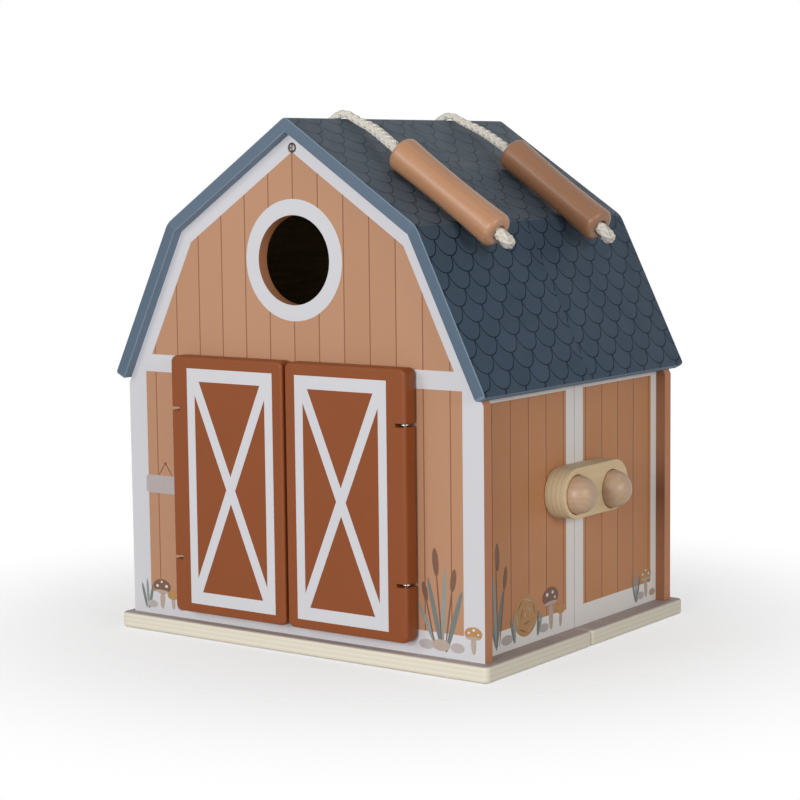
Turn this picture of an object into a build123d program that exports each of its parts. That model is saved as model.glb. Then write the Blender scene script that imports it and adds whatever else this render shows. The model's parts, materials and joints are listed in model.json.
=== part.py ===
from build123d import *
import math
import os

# A wooden toy barn made of two halves.  The halves stand face to face on their
# base boards, hinge at the left and are held shut by a block on two pegs at the
# right.  The front gable has a round window and a pair of doors, and each half
# has a rope handle with a turned grip on its roof.
#
# Frame: millimetres, +Z up, -Y towards the doors, +X towards the latch.  The
# origin is the middle of the seam, on the underside of the base.

os.makedirs("parts", exist_ok=True)

LEFT = -1
RIGHT = 1
FRONT = -1
REAR = 1

# ---- driving dimensions -----------------------------------------------------

# boards and clearances
board = 8.0                     # plywood of the walls and the roof
seam_gap = 0.3                  # between the closed halves, taken off the front one
slip_fit = 0.05                 # round a pin or a screw in its hole

# base
base_half_width = 146.0
base_half_depth = 120.0
base_thickness = 10.5
base_corner_radius = 4.0
base_seam_corner_radius = 3.0
base_edge_radius = 2.0

# walls
gable_half_width = 140.0
gable_inset = 7.0               # gable face behind the edge of the base
side_inset = 6.7                # side wall behind the edge of the gable

# roof, a gambrel: a gentle slope down to the knee and a steep one to the eave
ridge_height = 334.5
upper_slope = 117.8
upper_angle = 34.0
lower_slope = 110.5
lower_angle = 64.0
roof_half_depth = 120.0
ridge_radius = 5.0
knee_radius = 14.0
eave_radius = 3.0
verge_radius = 1.0              # along the front and rear edges of the roof
eave_corner_radius = 3.5        # where an eave meets a verge

# ridge batten and the screw that holds the gable to it
batten_half_width = 12.0
batten_depth = 28.5             # from the ridge to the batten's bottom
gable_screw_drop = 19.2         # below the ridge
gable_screw_head_radius = 3.5
gable_screw_radius = 1.5
gable_screw_length = 30.0

# window and doorway
window_radius = 27.8
window_drop = 88.2              # from the ridge to the window's middle
doorway_half_width = 78.0
doorway_bottom = 22.0
doorway_top = 176.0
doorway_corner_radius = 4.0

# doors
door_gap = 1.6                  # between the two doors
door_width = 91.7
door_bottom = 18.5
door_height = 166.0
door_thickness = 11.5
door_standoff = 1.0             # from the gable to the back of a door
door_corner_radius = 4.5
door_edge_radius = 2.0

# door hinges: a wire eye in a saw cut, round a pin pushed in from the door's end
door_hinge_inset = 4.4          # pin to the outer edge of the door
door_hinge_heights = (53.7, 150.4)
door_pin_radius = 1.2
door_pin_past_cut = 12.0        # length of pin on the far side of the cut
door_pin_sunk = 0.5             # pin's end below the end of the door
eye_wire_radius = 0.8
eye_clearance = 0.1             # pin to eye
eye_grip = 6.5                  # length of the eye's shank in the gable
cut_height = 2.4
cut_clearance = 0.2             # eye to the bottom of the cut

# latch: two pegs through a loose block
peg_radius = 12.0
peg_from_seam = 21.2
peg_front_height = 100.2
peg_rear_height = 98.4
peg_reach = 27.6                # from the wall to the tip
peg_spigot_radius = 6.0
block_length = 78.0
block_width = 32.0
block_thickness = 14.7
block_shift = 2.5               # block's middle behind the seam
block_height = 100.7            # block's middle
block_hole_clearance = 0.4
block_wall_gap = 0.3
block_edge_radius = 0.6

# barn hinges
hinge_axis_gap = 2.0            # hinge pin to the outer edge of the base
hinge_post_width = 14.0
hinge_post_eave_gap = 7.8       # post's top below the eave's inner corner
hinge_heights = (45.0, 125.0)
hinge_length = 30.0
leaf_thickness = 1.0
leaf_width = 13.0
knuckle_radius = 1.8
knuckle_gap = 0.2
hinge_pin_radius = 0.9
hinge_screw_head_radius = 2.0
hinge_screw_radius = 1.1
hinge_screw_length = 9.0
hinge_screw_spacing = 18.0

# rope handles
rope_radius = 3.25
rope_hole_radius = 4.25
rope_mouth_radius = 1.5
rope_hole_down = 106.0          # from the ridge, along the upper slope
rope_hole_front = -58.5         # Y of the holes
rope_hole_rear = 62.5
rope_end = -7.87                # where the rope meets its knot, below the roof
knot_radius = 7.0
knot_flat_radius = 3.6

# turned grips
grip_length = 87.0
grip_end_radius = 11.3
grip_waist_radius = 10.3
grip_bore_radius = 4.25
grip_round = 3.5
grip_bore_round = 1.2
grip_lift = 0.3                 # above the roof
grip_front_start = (57.4, -73.7)   # upper end: distance down the slope, Y
grip_front_turn = -0.75         # degrees round the roof's normal
grip_rear_start = (58.2, 50.4)
grip_rear_turn = -4.8

# ---- places worked out from them --------------------------------------------

half_name = {FRONT: "front", REAR: "rear"}
side_name = {LEFT: "left", RIGHT: "right"}

gable_face = base_half_depth - gable_inset
gable_back = gable_face - board
side_face = gable_half_width - side_inset
seam_face = {FRONT: -seam_gap, REAR: 0.0}
batten_bottom_height = ridge_height - batten_depth
gable_screw_height = ridge_height - gable_screw_drop
window_height = ridge_height - window_drop

up = math.radians(upper_angle)
low = math.radians(lower_angle)
fold = (low - up) / 2
middle = math.pi / 2 - (up + low) / 2

knee = (upper_slope * math.cos(up), ridge_height - upper_slope * math.sin(up))
eave = (
    knee[0] + lower_slope * math.cos(low),
    knee[1] - lower_slope * math.sin(low),
)
inner_ridge = (0.0, ridge_height - board / math.cos(up))
inner_knee = (
    knee[0] - board / math.cos(fold) * math.cos(middle),
    knee[1] - board / math.cos(fold) * math.sin(middle),
)
inner_eave = (eave[0] - board * math.sin(low), eave[1] - board * math.cos(low))

door_inner_edge = door_gap / 2
door_outer_edge = door_inner_edge + door_width
door_top = door_bottom + door_height
door_back = gable_face + door_standoff
door_pin_x = door_outer_edge - door_hinge_inset
door_pin_y = -(door_back + door_thickness / 2)
eye_ring_radius = door_pin_radius + eye_clearance + eye_wire_radius
cut_depth = door_hinge_inset + eye_ring_radius + eye_wire_radius + cut_clearance

peg_heights = {FRONT: peg_front_height, REAR: peg_rear_height}
block_inner = side_face + block_wall_gap
hinge_axis_x = -(base_half_width + hinge_axis_gap)
hinge_post_top = inner_eave[1] - hinge_post_eave_gap


def flip(point):
    """Mirror an X, Z point to the other side of the ridge."""
    return (-point[0], point[1])


def underside(x):
    """Height of the roof's underside above x."""
    if abs(x) < inner_knee[0]:
        return inner_ridge[1] - abs(x) * math.tan(up)
    return inner_knee[1] - (abs(x) - inner_knee[0]) * math.tan(low)


def slope_direction(side):
    return Vector(side * math.cos(up), 0, -math.sin(up))


def slope_normal(side):
    return Vector(side * math.sin(up), 0, math.cos(up))


def on_slope(side, down, y, height):
    """Point over the upper slope: down from the ridge, along Y, above the roof."""
    ridge = Vector(0, y, ridge_height)
    return ridge + slope_direction(side) * down + slope_normal(side) * height


def y_span(half, outer):
    """Lowest and highest Y of a piece that runs from the seam to an outer face."""
    return sorted((seam_face[half], half * outer))


def save(part, name):
    part.label = name
    export_step(part, f"parts/{name}.step")


# ---- base boards ------------------------------------------------------------


def base_board(half):
    y_low, y_high = y_span(half, base_half_depth)
    with BuildPart() as plate:
        with BuildSketch():
            with Locations((0, (y_low + y_high) / 2)):
                Rectangle(2 * base_half_width, y_high - y_low)
        extrude(amount=base_thickness)
        uprights = plate.edges().filter_by(Axis.Z).sort_by(Axis.Y)
        fillet(uprights[:2] if half == FRONT else uprights[2:], base_corner_radius)
        seam_edges = plate.edges().filter_by(Axis.Z).group_by(Axis.Y)
        seam_edges = seam_edges[-1] if half == FRONT else seam_edges[0]
        fillet(seam_edges, base_seam_corner_radius)
        rims = plate.edges().group_by(Axis.Z)
        fillet(rims[0] + rims[-1], base_edge_radius)
    return plate.part


for half in (FRONT, REAR):
    save(base_board(half), f"base_{half_name[half]}")

# ---- gables -----------------------------------------------------------------

gable_outline = [
    (gable_half_width, base_thickness),
    (gable_half_width, underside(gable_half_width)),
    inner_knee,
    inner_ridge,
    flip(inner_knee),
    (-gable_half_width, underside(gable_half_width)),
    (-gable_half_width, base_thickness),
]


def screw_plane(half):
    """Plane on the outer face of a gable, at its screw, facing outwards."""
    return Plane(origin=(0, half * gable_face, gable_screw_height), z_dir=(0, half, 0))


with BuildPart() as gable_front:
    with BuildSketch(Plane.XZ.offset(gable_face)):
        with BuildLine():
            Polyline(*gable_outline, close=True)
        make_face()
        with Locations((0, window_height)):
            Circle(window_radius, mode=Mode.SUBTRACT)
        with Locations((0, (doorway_bottom + doorway_top) / 2)):
            RectangleRounded(
                2 * doorway_half_width,
                doorway_top - doorway_bottom,
                doorway_corner_radius,
                mode=Mode.SUBTRACT,
            )
        for side in (LEFT, RIGHT):
            with Locations(*[(side * door_pin_x, z) for z in door_hinge_heights]):
                Circle(eye_wire_radius + slip_fit, mode=Mode.SUBTRACT)
    extrude(amount=-board)
    with Locations(screw_plane(FRONT)):
        CounterSinkHole(
            gable_screw_radius + slip_fit,
            gable_screw_head_radius + slip_fit,
            counter_sink_angle=90,
        )
save(gable_front.part, "gable_front")

with BuildPart() as gable_rear:
    with BuildSketch(Plane.XZ.offset(-gable_back)):
        with BuildLine():
            Polyline(*gable_outline, close=True)
        make_face()
    extrude(amount=-board)
    with Locations(screw_plane(REAR)):
        CounterSinkHole(
            gable_screw_radius + slip_fit,
            gable_screw_head_radius + slip_fit,
            counter_sink_angle=90,
        )
save(gable_rear.part, "gable_rear")

# ---- side walls -------------------------------------------------------------


def side_wall(half, side):
    y_low, y_high = y_span(half, gable_back)
    inner = side_face - board
    with BuildPart() as wall:
        with BuildSketch(Plane.XZ.offset(-y_high)):
            with BuildLine():
                Polyline(
                    (side * inner, base_thickness),
                    (side * side_face, base_thickness),
                    (side * side_face, underside(side_face)),
                    (side * inner, underside(inner)),
                    close=True,
                )
            make_face()
        extrude(amount=y_high - y_low)
        if side == RIGHT:
            peg_seat = Plane(
                origin=(side_face, half * peg_from_seam, peg_heights[half]),
                z_dir=(1, 0, 0),
            )
            with Locations(peg_seat):
                Hole(peg_spigot_radius + slip_fit)
    return wall.part


for half in (FRONT, REAR):
    for side in (LEFT, RIGHT):
        save(side_wall(half, side), f"side_{half_name[half]}_{side_name[side]}")

# ---- roof -------------------------------------------------------------------


def roof_shell(half):
    """All four roof boards of one half as a single bent slab."""
    y_low, y_high = y_span(half, roof_half_depth)
    with BuildPart() as shell:
        with BuildSketch(Plane.XZ.offset(-y_high)):
            with BuildLine():
                FilletPolyline(
                    inner_knee,
                    inner_eave,
                    eave,
                    knee,
                    (0, ridge_height),
                    flip(knee),
                    flip(eave),
                    flip(inner_eave),
                    flip(inner_knee),
                    radius=[
                        eave_radius,
                        eave_radius,
                        knee_radius,
                        ridge_radius,
                        knee_radius,
                        eave_radius,
                        eave_radius,
                    ],
                )
                Polyline(flip(inner_knee), inner_ridge, inner_knee)
            make_face()
        extrude(amount=y_high - y_low)
        verge = shell.edges().group_by(Axis.Y)[0 if half == FRONT else -1]
        fillet(verge, verge_radius)
        for side in (LEFT, RIGHT):
            down_roof = Vector(side * math.cos(low), 0, -math.sin(low))
            outwards = Vector(side * math.sin(low), 0, math.cos(low))
            corner = Vector(side * eave[0], half * roof_half_depth, eave[1])
            slab_plane = Plane(origin=corner, x_dir=down_roof, z_dir=outwards)
            inwards = -1 if slab_plane.y_dir.Y * half > 0 else 1
            with BuildSketch(slab_plane):
                with Locations((-eave_corner_radius, inwards * eave_corner_radius)):
                    Rectangle(
                        2 * eave_corner_radius,
                        2 * eave_corner_radius,
                        align=(Align.MIN, Align.MIN if inwards < 0 else Align.MAX),
                    )
                    Circle(eave_corner_radius, mode=Mode.SUBTRACT)
            extrude(amount=2 * board, both=True, mode=Mode.SUBTRACT)
    return shell.part


def knee_plane(side):
    """Mitre plane of the knee, facing up the roof."""
    up_roof = Vector(-side * math.sin(middle), 0, math.cos(middle))
    return Plane(origin=(side * knee[0], 0, knee[1]), z_dir=up_roof)


def roof_board(shell, half, side, is_upper):
    with BuildPart() as slab:
        add(shell)
        split(bisect_by=Plane.YZ, keep=Keep.TOP if side == RIGHT else Keep.BOTTOM)
        split(bisect_by=knee_plane(side), keep=Keep.TOP if is_upper else Keep.BOTTOM)
        if is_upper:
            hole_y = rope_hole_front if half == FRONT else rope_hole_rear
            mouth = on_slope(side, rope_hole_down, hole_y, 0)
            with Locations(Plane(origin=mouth, z_dir=slope_normal(side))):
                Hole(rope_hole_radius)
            rims = slab.edges().filter_by(GeomType.CIRCLE)
            rims = rims.filter_by(lambda rim: abs(rim.radius - rope_hole_radius) < 0.001)
            fillet(rims.sort_by(Axis(mouth, slope_normal(side)))[-1], rope_mouth_radius)
    return slab.part


for half in (FRONT, REAR):
    shell = roof_shell(half)
    for side in (LEFT, RIGHT):
        for is_upper in (True, False):
            place = "upper" if is_upper else "lower"
            save(
                roof_board(shell, half, side, is_upper),
                f"roof_{half_name[half]}_{side_name[side]}_{place}",
            )

# ---- ridge battens and gable screws -----------------------------------------


def ridge_batten(half):
    y_low, y_high = y_span(half, gable_back)
    with BuildPart() as batten:
        with BuildSketch(Plane.XZ.offset(-y_high)):
            with BuildLine():
                Polyline(
                    inner_ridge,
                    (batten_half_width, underside(batten_half_width)),
                    (batten_half_width, batten_bottom_height),
                    (-batten_half_width, batten_bottom_height),
                    (-batten_half_width, underside(batten_half_width)),
                    close=True,
                )
            make_face()
        extrude(amount=y_high - y_low)
        with Locations(screw_plane(half)):
            Cylinder(
                gable_screw_radius + slip_fit,
                gable_screw_length + slip_fit,
                align=(Align.CENTER, Align.CENTER, Align.MAX),
                mode=Mode.SUBTRACT,
            )
    return batten.part


def countersunk_screws(planes, head_radius, shank_radius, length):
    """One flat-headed screw below each plane, as separate solids."""
    with BuildPart() as screws:
        for plane in planes:
            with BuildSketch(Plane(plane.origin, plane.x_dir, -plane.y_dir)):
                with BuildLine():
                    Polyline(
                        (0, 0),
                        (head_radius, 0),
                        (shank_radius, shank_radius - head_radius),
                        (shank_radius, -length + shank_radius),
                        (0, -length),
                        close=True,
                    )
                make_face()
            revolve(axis=Axis(plane.origin, plane.z_dir))
    return screws.part


for half in (FRONT, REAR):
    save(ridge_batten(half), f"ridge_batten_{half_name[half]}")
    gable_screw = countersunk_screws(
        [screw_plane(half)],
        gable_screw_head_radius,
        gable_screw_radius,
        gable_screw_length,
    )
    save(gable_screw, f"gable_screw_{half_name[half]}")

# ---- doors and their hinges -------------------------------------------------


def door_pin_ends(height):
    """Lower and upper end of the pin through the cut at a height."""
    if height > (door_bottom + door_top) / 2:
        return height - door_pin_past_cut, door_top - door_pin_sunk
    return door_bottom + door_pin_sunk, height + door_pin_past_cut


def door_leaf(side):
    with BuildPart() as leaf:
        with BuildSketch(Plane.XZ.offset(door_back)):
            centre_x = side * (door_inner_edge + door_width / 2)
            with Locations((centre_x, door_bottom + door_height / 2)):
                RectangleRounded(door_width, door_height, door_corner_radius)
        extrude(amount=door_thickness)
        rims = leaf.edges().group_by(Axis.Y)
        fillet(rims[0] + rims[-1], door_edge_radius)
        cut_centre = side * (door_outer_edge - cut_depth / 2 + door_edge_radius / 2)
        with Locations(*[(cut_centre, door_pin_y, z) for z in door_hinge_heights]):
            Box(
                cut_depth + door_edge_radius,
                2 * door_thickness,
                cut_height,
                mode=Mode.SUBTRACT,
            )
        for height in door_hinge_heights:
            low_end, high_end = door_pin_ends(height)
            if high_end > height + door_pin_past_cut:
                high_end = door_top
            else:
                low_end = door_bottom
            with Locations((side * door_pin_x, door_pin_y, (low_end + high_end) / 2)):
                Cylinder(
                    door_pin_radius + slip_fit,
                    high_end - low_end,
                    mode=Mode.SUBTRACT,
                )
    return leaf.part


def door_pins(side):
    with BuildPart() as pins:
        for height in door_hinge_heights:
            low_end, high_end = door_pin_ends(height)
            with Locations((side * door_pin_x, door_pin_y, (low_end + high_end) / 2)):
                Cylinder(door_pin_radius, high_end - low_end)
    return pins.part


for side in (LEFT, RIGHT):
    save(door_leaf(side), f"door_{side_name[side]}")
    save(door_pins(side), f"door_pins_{side_name[side]}")

with BuildPart() as door_eyes:
    eye_places = [
        (side * door_pin_x, door_pin_y, z)
        for side in (LEFT, RIGHT)
        for z in door_hinge_heights
    ]
    shank_length = -gable_face + eye_grip - door_pin_y - eye_ring_radius
    with Locations(*eye_places):
        Torus(eye_ring_radius, eye_wire_radius)
    for x, y, z in eye_places:
        with Locations(Plane(origin=(x, y + eye_ring_radius, z), z_dir=(0, 1, 0))):
            Cylinder(
                eye_wire_radius,
                shank_length,
                align=(Align.CENTER, Align.CENTER, Align.MIN),
            )
save(door_eyes.part, "door_eyes")

# ---- latch ------------------------------------------------------------------


def latch_peg(half):
    dome_start = side_face + peg_reach - peg_radius
    peg_height = peg_heights[half]
    with BuildPart() as peg:
        with BuildSketch(Plane.XZ.offset(-half * peg_from_seam)):
            with BuildLine():
                Polyline(
                    (dome_start + peg_radius, peg_height),
                    (side_face - board, peg_height),
                    (side_face - board, peg_height + peg_spigot_radius),
                    (side_face, peg_height + peg_spigot_radius),
                    (side_face, peg_height + peg_radius),
                    (dome_start, peg_height + peg_radius),
                )
                CenterArc((dome_start, peg_height), peg_radius, 0, 90)
            make_face()
        revolve(axis=Axis((0, half * peg_from_seam, peg_height), (1, 0, 0)))
    return peg.part


for half in (FRONT, REAR):
    save(latch_peg(half), f"latch_peg_{half_name[half]}")

with BuildPart() as latch_block:
    with BuildSketch(Plane.YZ.offset(block_inner)):
        with Locations((block_shift, block_height)):
            SlotOverall(block_length, block_width)
        for half in (FRONT, REAR):
            with Locations((half * peg_from_seam, peg_heights[half])):
                Circle(peg_radius + block_hole_clearance, mode=Mode.SUBTRACT)
    extrude(amount=block_thickness)
    rims = latch_block.edges().group_by(Axis.X)
    fillet(rims[0] + rims[-1], block_edge_radius)
save(latch_block.part, "latch_block")

# ---- barn hinges ------------------------------------------------------------

leaf_inner = base_half_width    # the leaves lie on the posts, flush with the base
leaf_outer = leaf_inner + leaf_thickness
knuckle_length = hinge_length / 3
leaf_cut_back = knuckle_radius + knuckle_gap


def knuckle_spans(half, height):
    """Height ranges of the knuckles on one half's leaf."""
    low_end = height - hinge_length / 2
    if half == FRONT:
        spans = [(low_end + knuckle_length, low_end + 2 * knuckle_length)]
        return [(a + knuckle_gap, b - knuckle_gap) for a, b in spans]
    return [
        (low_end, low_end + knuckle_length),
        (low_end + 2 * knuckle_length, low_end + hinge_length),
    ]


def hinge_screw_planes(half):
    y = half * (leaf_cut_back + leaf_width) / 2
    return [
        Plane(origin=(-leaf_outer, y, height + step), z_dir=(-1, 0, 0))
        for height in hinge_heights
        for step in (-hinge_screw_spacing / 2, hinge_screw_spacing / 2)
    ]


def hinge_post(half):
    depth = hinge_post_width - abs(seam_face[half])
    height = hinge_post_top - base_thickness
    width = base_half_width - side_face
    y_mid = (seam_face[half] + half * hinge_post_width) / 2
    with BuildPart() as post:
        with Locations((-side_face - width / 2, y_mid, base_thickness + height / 2)):
            Box(width, depth, height)
        for plane in hinge_screw_planes(half):
            with Locations(plane):
                Cylinder(
                    hinge_screw_radius + slip_fit,
                    hinge_screw_length + slip_fit,
                    align=(Align.CENTER, Align.CENTER, Align.MAX),
                    mode=Mode.SUBTRACT,
                )
    return post.part


def hinge_leaves(half):
    x_mid = -(leaf_inner + leaf_outer) / 2
    with BuildPart() as leaves:
        for height in hinge_heights:
            with Locations((x_mid, half * (leaf_cut_back + leaf_width) / 2, height)):
                Box(leaf_thickness, leaf_width - leaf_cut_back, hinge_length)
            for low_end, high_end in knuckle_spans(half, height):
                mid = (low_end + high_end) / 2
                span = high_end - low_end
                tab = leaf_cut_back - abs(seam_face[half])
                y_tab = half * (leaf_cut_back - tab / 2)
                with Locations((x_mid, y_tab, mid)):
                    Box(leaf_thickness, tab, span)
                with Locations((hinge_axis_x, 0, mid)):
                    Cylinder(knuckle_radius, span)
            with Locations((hinge_axis_x, 0, height)):
                Cylinder(
                    hinge_pin_radius + slip_fit,
                    2 * hinge_length,
                    mode=Mode.SUBTRACT,
                )
        for plane in hinge_screw_planes(half):
            with Locations(plane):
                CounterSinkHole(
                    hinge_screw_radius + slip_fit,
                    hinge_screw_head_radius + slip_fit,
                    depth=2 * leaf_thickness,
                    counter_sink_angle=90,
                )
    return leaves.part


for half in (FRONT, REAR):
    save(hinge_post(half), f"hinge_post_{half_name[half]}")
    save(hinge_leaves(half), f"hinge_leaves_{half_name[half]}")
    hinge_screws = countersunk_screws(
        hinge_screw_planes(half),
        hinge_screw_head_radius,
        hinge_screw_radius,
        hinge_screw_length,
    )
    save(hinge_screws, f"hinge_screws_{half_name[half]}")

with BuildPart() as hinge_pins:
    with Locations(*[(hinge_axis_x, 0, height) for height in hinge_heights]):
        Cylinder(hinge_pin_radius, hinge_length + 2 * knuckle_gap)
save(hinge_pins.part, "hinge_pins")

# ---- rope handles -----------------------------------------------------------

# Each rope comes out of the left slope, goes over the ridge, through its grip,
# turns back at the grip's lower end and goes in through the right slope.
# Points: side, down the slope from the ridge, Y, height above the roof.
rope_front_points = [
    (LEFT, rope_hole_down, rope_hole_front, rope_end),
    (LEFT, rope_hole_down, rope_hole_front, 1.0),
    (LEFT, 96.5, -58.7, 8.3),
    (LEFT, 76.0, -59.2, 4.3),
    (LEFT, 50.0, -60.0, 3.5),
    (LEFT, 26.0, -60.6, 3.5),
    (LEFT, 10.5, -60.9, 3.5),
    (LEFT, -2.5, -61.0, 3.75),
    (RIGHT, 10.5, -61.2, 5.0),
    (RIGHT, 27.0, -62.9, 8.1),
    (RIGHT, 46.0, -70.9, 10.8),
    (RIGHT, 62.0, -73.9, 11.6),
    (RIGHT, 100.0, -74.3, 11.6),
    (RIGHT, 132.0, -74.7, 11.6),
    (RIGHT, 146.6, -74.8, 11.4),
    (RIGHT, 150.6, -68.6, 9.2),
    (RIGHT, 146.4, -61.8, 4.9),
    (RIGHT, 134.0, -58.9, 3.4),
    (RIGHT, 116.0, -58.5, 8.6),
    (RIGHT, rope_hole_down, rope_hole_front, 1.0),
    (RIGHT, rope_hole_down, rope_hole_front, rope_end),
]
rope_rear_points = [
    (LEFT, rope_hole_down, rope_hole_rear, rope_end),
    (LEFT, rope_hole_down, rope_hole_rear, 1.0),
    (LEFT, 96.6, 61.9, 8.4),
    (LEFT, 76.0, 60.0, 4.3),
    (LEFT, 51.0, 57.8, 3.5),
    (LEFT, 26.0, 56.4, 3.5),
    (LEFT, 10.5, 56.0, 3.5),
    (LEFT, -2.5, 56.2, 3.75),
    (RIGHT, 10.5, 57.4, 5.0),
    (RIGHT, 26.0, 57.2, 7.9),
    (RIGHT, 44.0, 53.1, 10.4),
    (RIGHT, 63.0, 50.0, 11.6),
    (RIGHT, 100.0, 46.85, 11.6),
    (RIGHT, 132.0, 44.2, 11.6),
    (RIGHT, 147.2, 42.9, 11.3),
    (RIGHT, 151.6, 49.4, 8.6),
    (RIGHT, 147.6, 56.2, 4.3),
    (RIGHT, 136.0, 59.4, 3.3),
    (RIGHT, 116.0, 61.9, 8.6),
    (RIGHT, rope_hole_down, rope_hole_rear, 1.0),
    (RIGHT, rope_hole_down, rope_hole_rear, rope_end),
]


def bend_radii(points):
    """0.45 of the shorter run over the tangent of half the turn, at each corner."""
    radii = []
    for before, corner, after in zip(points, points[1:], points[2:]):
        run_in = corner - before
        run_out = after - corner
        half_turn = math.radians(run_in.get_angle(run_out)) / 2
        radii.append(0.45 * min(run_in.length, run_out.length) / math.tan(half_turn))
    return radii


def handle_rope(points, radii):
    with BuildPart() as rope:
        with BuildLine():
            route = FilletPolyline(*points, radius=radii)
        with BuildSketch(Plane(origin=route @ 0, z_dir=route % 0)):
            Circle(rope_radius)
        sweep()
    return rope.part, route.length


def rope_knots(points):
    """A knot on each end of a rope, flat where the rope leaves it."""
    centre = math.sqrt(knot_radius**2 - knot_flat_radius**2)
    with BuildPart() as knots:
        for end, beside in ((points[0], points[1]), (points[-1], points[-2])):
            outwards = (end - beside).normalized()
            with BuildSketch(Plane(origin=end, x_dir=outwards, z_dir=(0, 1, 0))):
                with BuildLine():
                    Polyline(
                        (0, knot_flat_radius),
                        (0, 0),
                        (centre + knot_radius, 0),
                    )
                    ThreePointArc(
                        (centre + knot_radius, 0),
                        (centre, knot_radius),
                        (0, knot_flat_radius),
                    )
                make_face()
            revolve(axis=Axis(end, outwards))
    return knots.part


for half, slope_points in ((FRONT, rope_front_points), (REAR, rope_rear_points)):
    points = [on_slope(*place) for place in slope_points]
    radii = bend_radii(points)
    rope_part, rope_length = handle_rope(points, radii)
    save(rope_part, f"handle_rope_{half_name[half]}")
    save(rope_knots(points), f"rope_knots_{half_name[half]}")
    section = math.pi * rope_radius**2
    print(half_name[half], "rope, length", round(rope_length, 1))
    print("  radii", [round(radius, 1) for radius in radii])
    print("  volume / (section x length)", round(rope_part.volume / section / rope_length, 4))

# ---- turned grips -----------------------------------------------------------


def turned_grip(start, turn):
    height = grip_end_radius + grip_lift
    origin = on_slope(RIGHT, start[0], start[1], height)
    along = slope_direction(RIGHT).rotate(Axis((0, 0, 0), slope_normal(RIGHT)), turn)
    across = slope_normal(RIGHT).cross(along)
    with BuildPart() as grip:
        with BuildSketch(Plane(origin=origin, x_dir=along, z_dir=across)) as profile:
            with BuildLine():
                Polyline(
                    (0, -grip_end_radius),
                    (0, -grip_bore_radius),
                    (grip_length, -grip_bore_radius),
                    (grip_length, -grip_end_radius),
                )
                ThreePointArc(
                    (grip_length, -grip_end_radius),
                    (grip_length / 2, -grip_waist_radius),
                    (0, -grip_end_radius),
                )
            make_face()
            corners = profile.vertices().group_by(Axis.Y)
            fillet(corners[0], grip_round)
            fillet(profile.vertices().group_by(Axis.Y)[-1], grip_bore_round)
        revolve(axis=Axis(origin, along))
    return grip.part


save(turned_grip(grip_front_start, grip_front_turn), "grip_front")
save(turned_grip(grip_rear_start, grip_rear_turn), "grip_rear")
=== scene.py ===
import json
import math

import bmesh
import bpy
from mathutils import Matrix, Vector

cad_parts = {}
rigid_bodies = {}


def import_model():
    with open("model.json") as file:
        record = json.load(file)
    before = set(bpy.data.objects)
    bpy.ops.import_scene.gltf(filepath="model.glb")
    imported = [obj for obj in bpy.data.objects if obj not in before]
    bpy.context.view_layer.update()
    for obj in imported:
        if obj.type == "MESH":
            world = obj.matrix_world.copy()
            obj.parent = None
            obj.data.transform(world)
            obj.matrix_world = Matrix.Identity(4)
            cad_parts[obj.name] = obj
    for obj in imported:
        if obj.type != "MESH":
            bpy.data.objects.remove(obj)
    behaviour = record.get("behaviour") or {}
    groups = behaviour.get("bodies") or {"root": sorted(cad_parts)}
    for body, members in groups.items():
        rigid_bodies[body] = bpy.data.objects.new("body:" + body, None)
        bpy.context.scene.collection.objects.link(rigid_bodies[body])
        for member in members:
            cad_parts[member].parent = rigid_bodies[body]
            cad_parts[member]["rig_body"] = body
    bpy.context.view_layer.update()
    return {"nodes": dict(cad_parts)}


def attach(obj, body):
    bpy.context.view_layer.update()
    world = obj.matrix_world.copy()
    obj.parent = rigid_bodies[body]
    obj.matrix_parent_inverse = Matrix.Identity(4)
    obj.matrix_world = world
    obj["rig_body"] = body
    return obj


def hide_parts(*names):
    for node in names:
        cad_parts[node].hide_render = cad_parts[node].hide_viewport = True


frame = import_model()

# ---- Camera ----------------------------------------------------------------------
# A long lens a little below the height of the ridge, looking down slightly at the
# corner between the doors and the latch side.
CAMERA_PLACE = (0.8258, -1.1424, 0.3058)
CAMERA_TURN = 0.627             # about Z, in radians
CAMERA_DIP = 0.111              # below level
CAMERA_ROLL = -0.011

scene = bpy.context.scene
camera = bpy.data.objects.new("camera", bpy.data.cameras.new("camera"))
camera.data.lens = 96.05
camera.data.sensor_width = 36
camera.matrix_world = (
    Matrix.Translation(CAMERA_PLACE)
    @ Matrix.Rotation(CAMERA_TURN, 4, "Z")
    @ Matrix.Rotation(math.pi / 2 - CAMERA_DIP, 4, "X")
    @ Matrix.Rotation(CAMERA_ROLL, 4, "Z")
)
scene.collection.objects.link(camera)
scene.camera = camera
scene.view_settings.view_transform = "Standard"


# ---- Rope handles ----------------------------------------------------------------
# Two lengths of round white cotton cord, braided from eight strands.  Each comes up
# through the left slope, crosses the ridge, threads a turned grip, folds back under
# the grip's lower end and goes down through the right slope to a knot.
LEFT = -1
RIGHT = 1
RIDGE_HEIGHT = 0.3345
UPPER_ANGLE = math.radians(34)
ROPE_DIAMETER = 0.0065
FRONT_LENGTH = 0.3357
REAR_LENGTH = 0.3376
STRANDS_EACH_WAY = 4
STRAND_RADIUS = 0.00122
STRAND_RING = 0.00203           # from the cord's middle to the middle of a strand
STRAND_WEAVE = 0.00028          # a strand goes over and under by this
BRAID_TURN = 0.024              # length of cord in which a strand goes once round
BRAID_STEP = 0.0006
CORE_RADIUS = 0.00245

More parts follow.
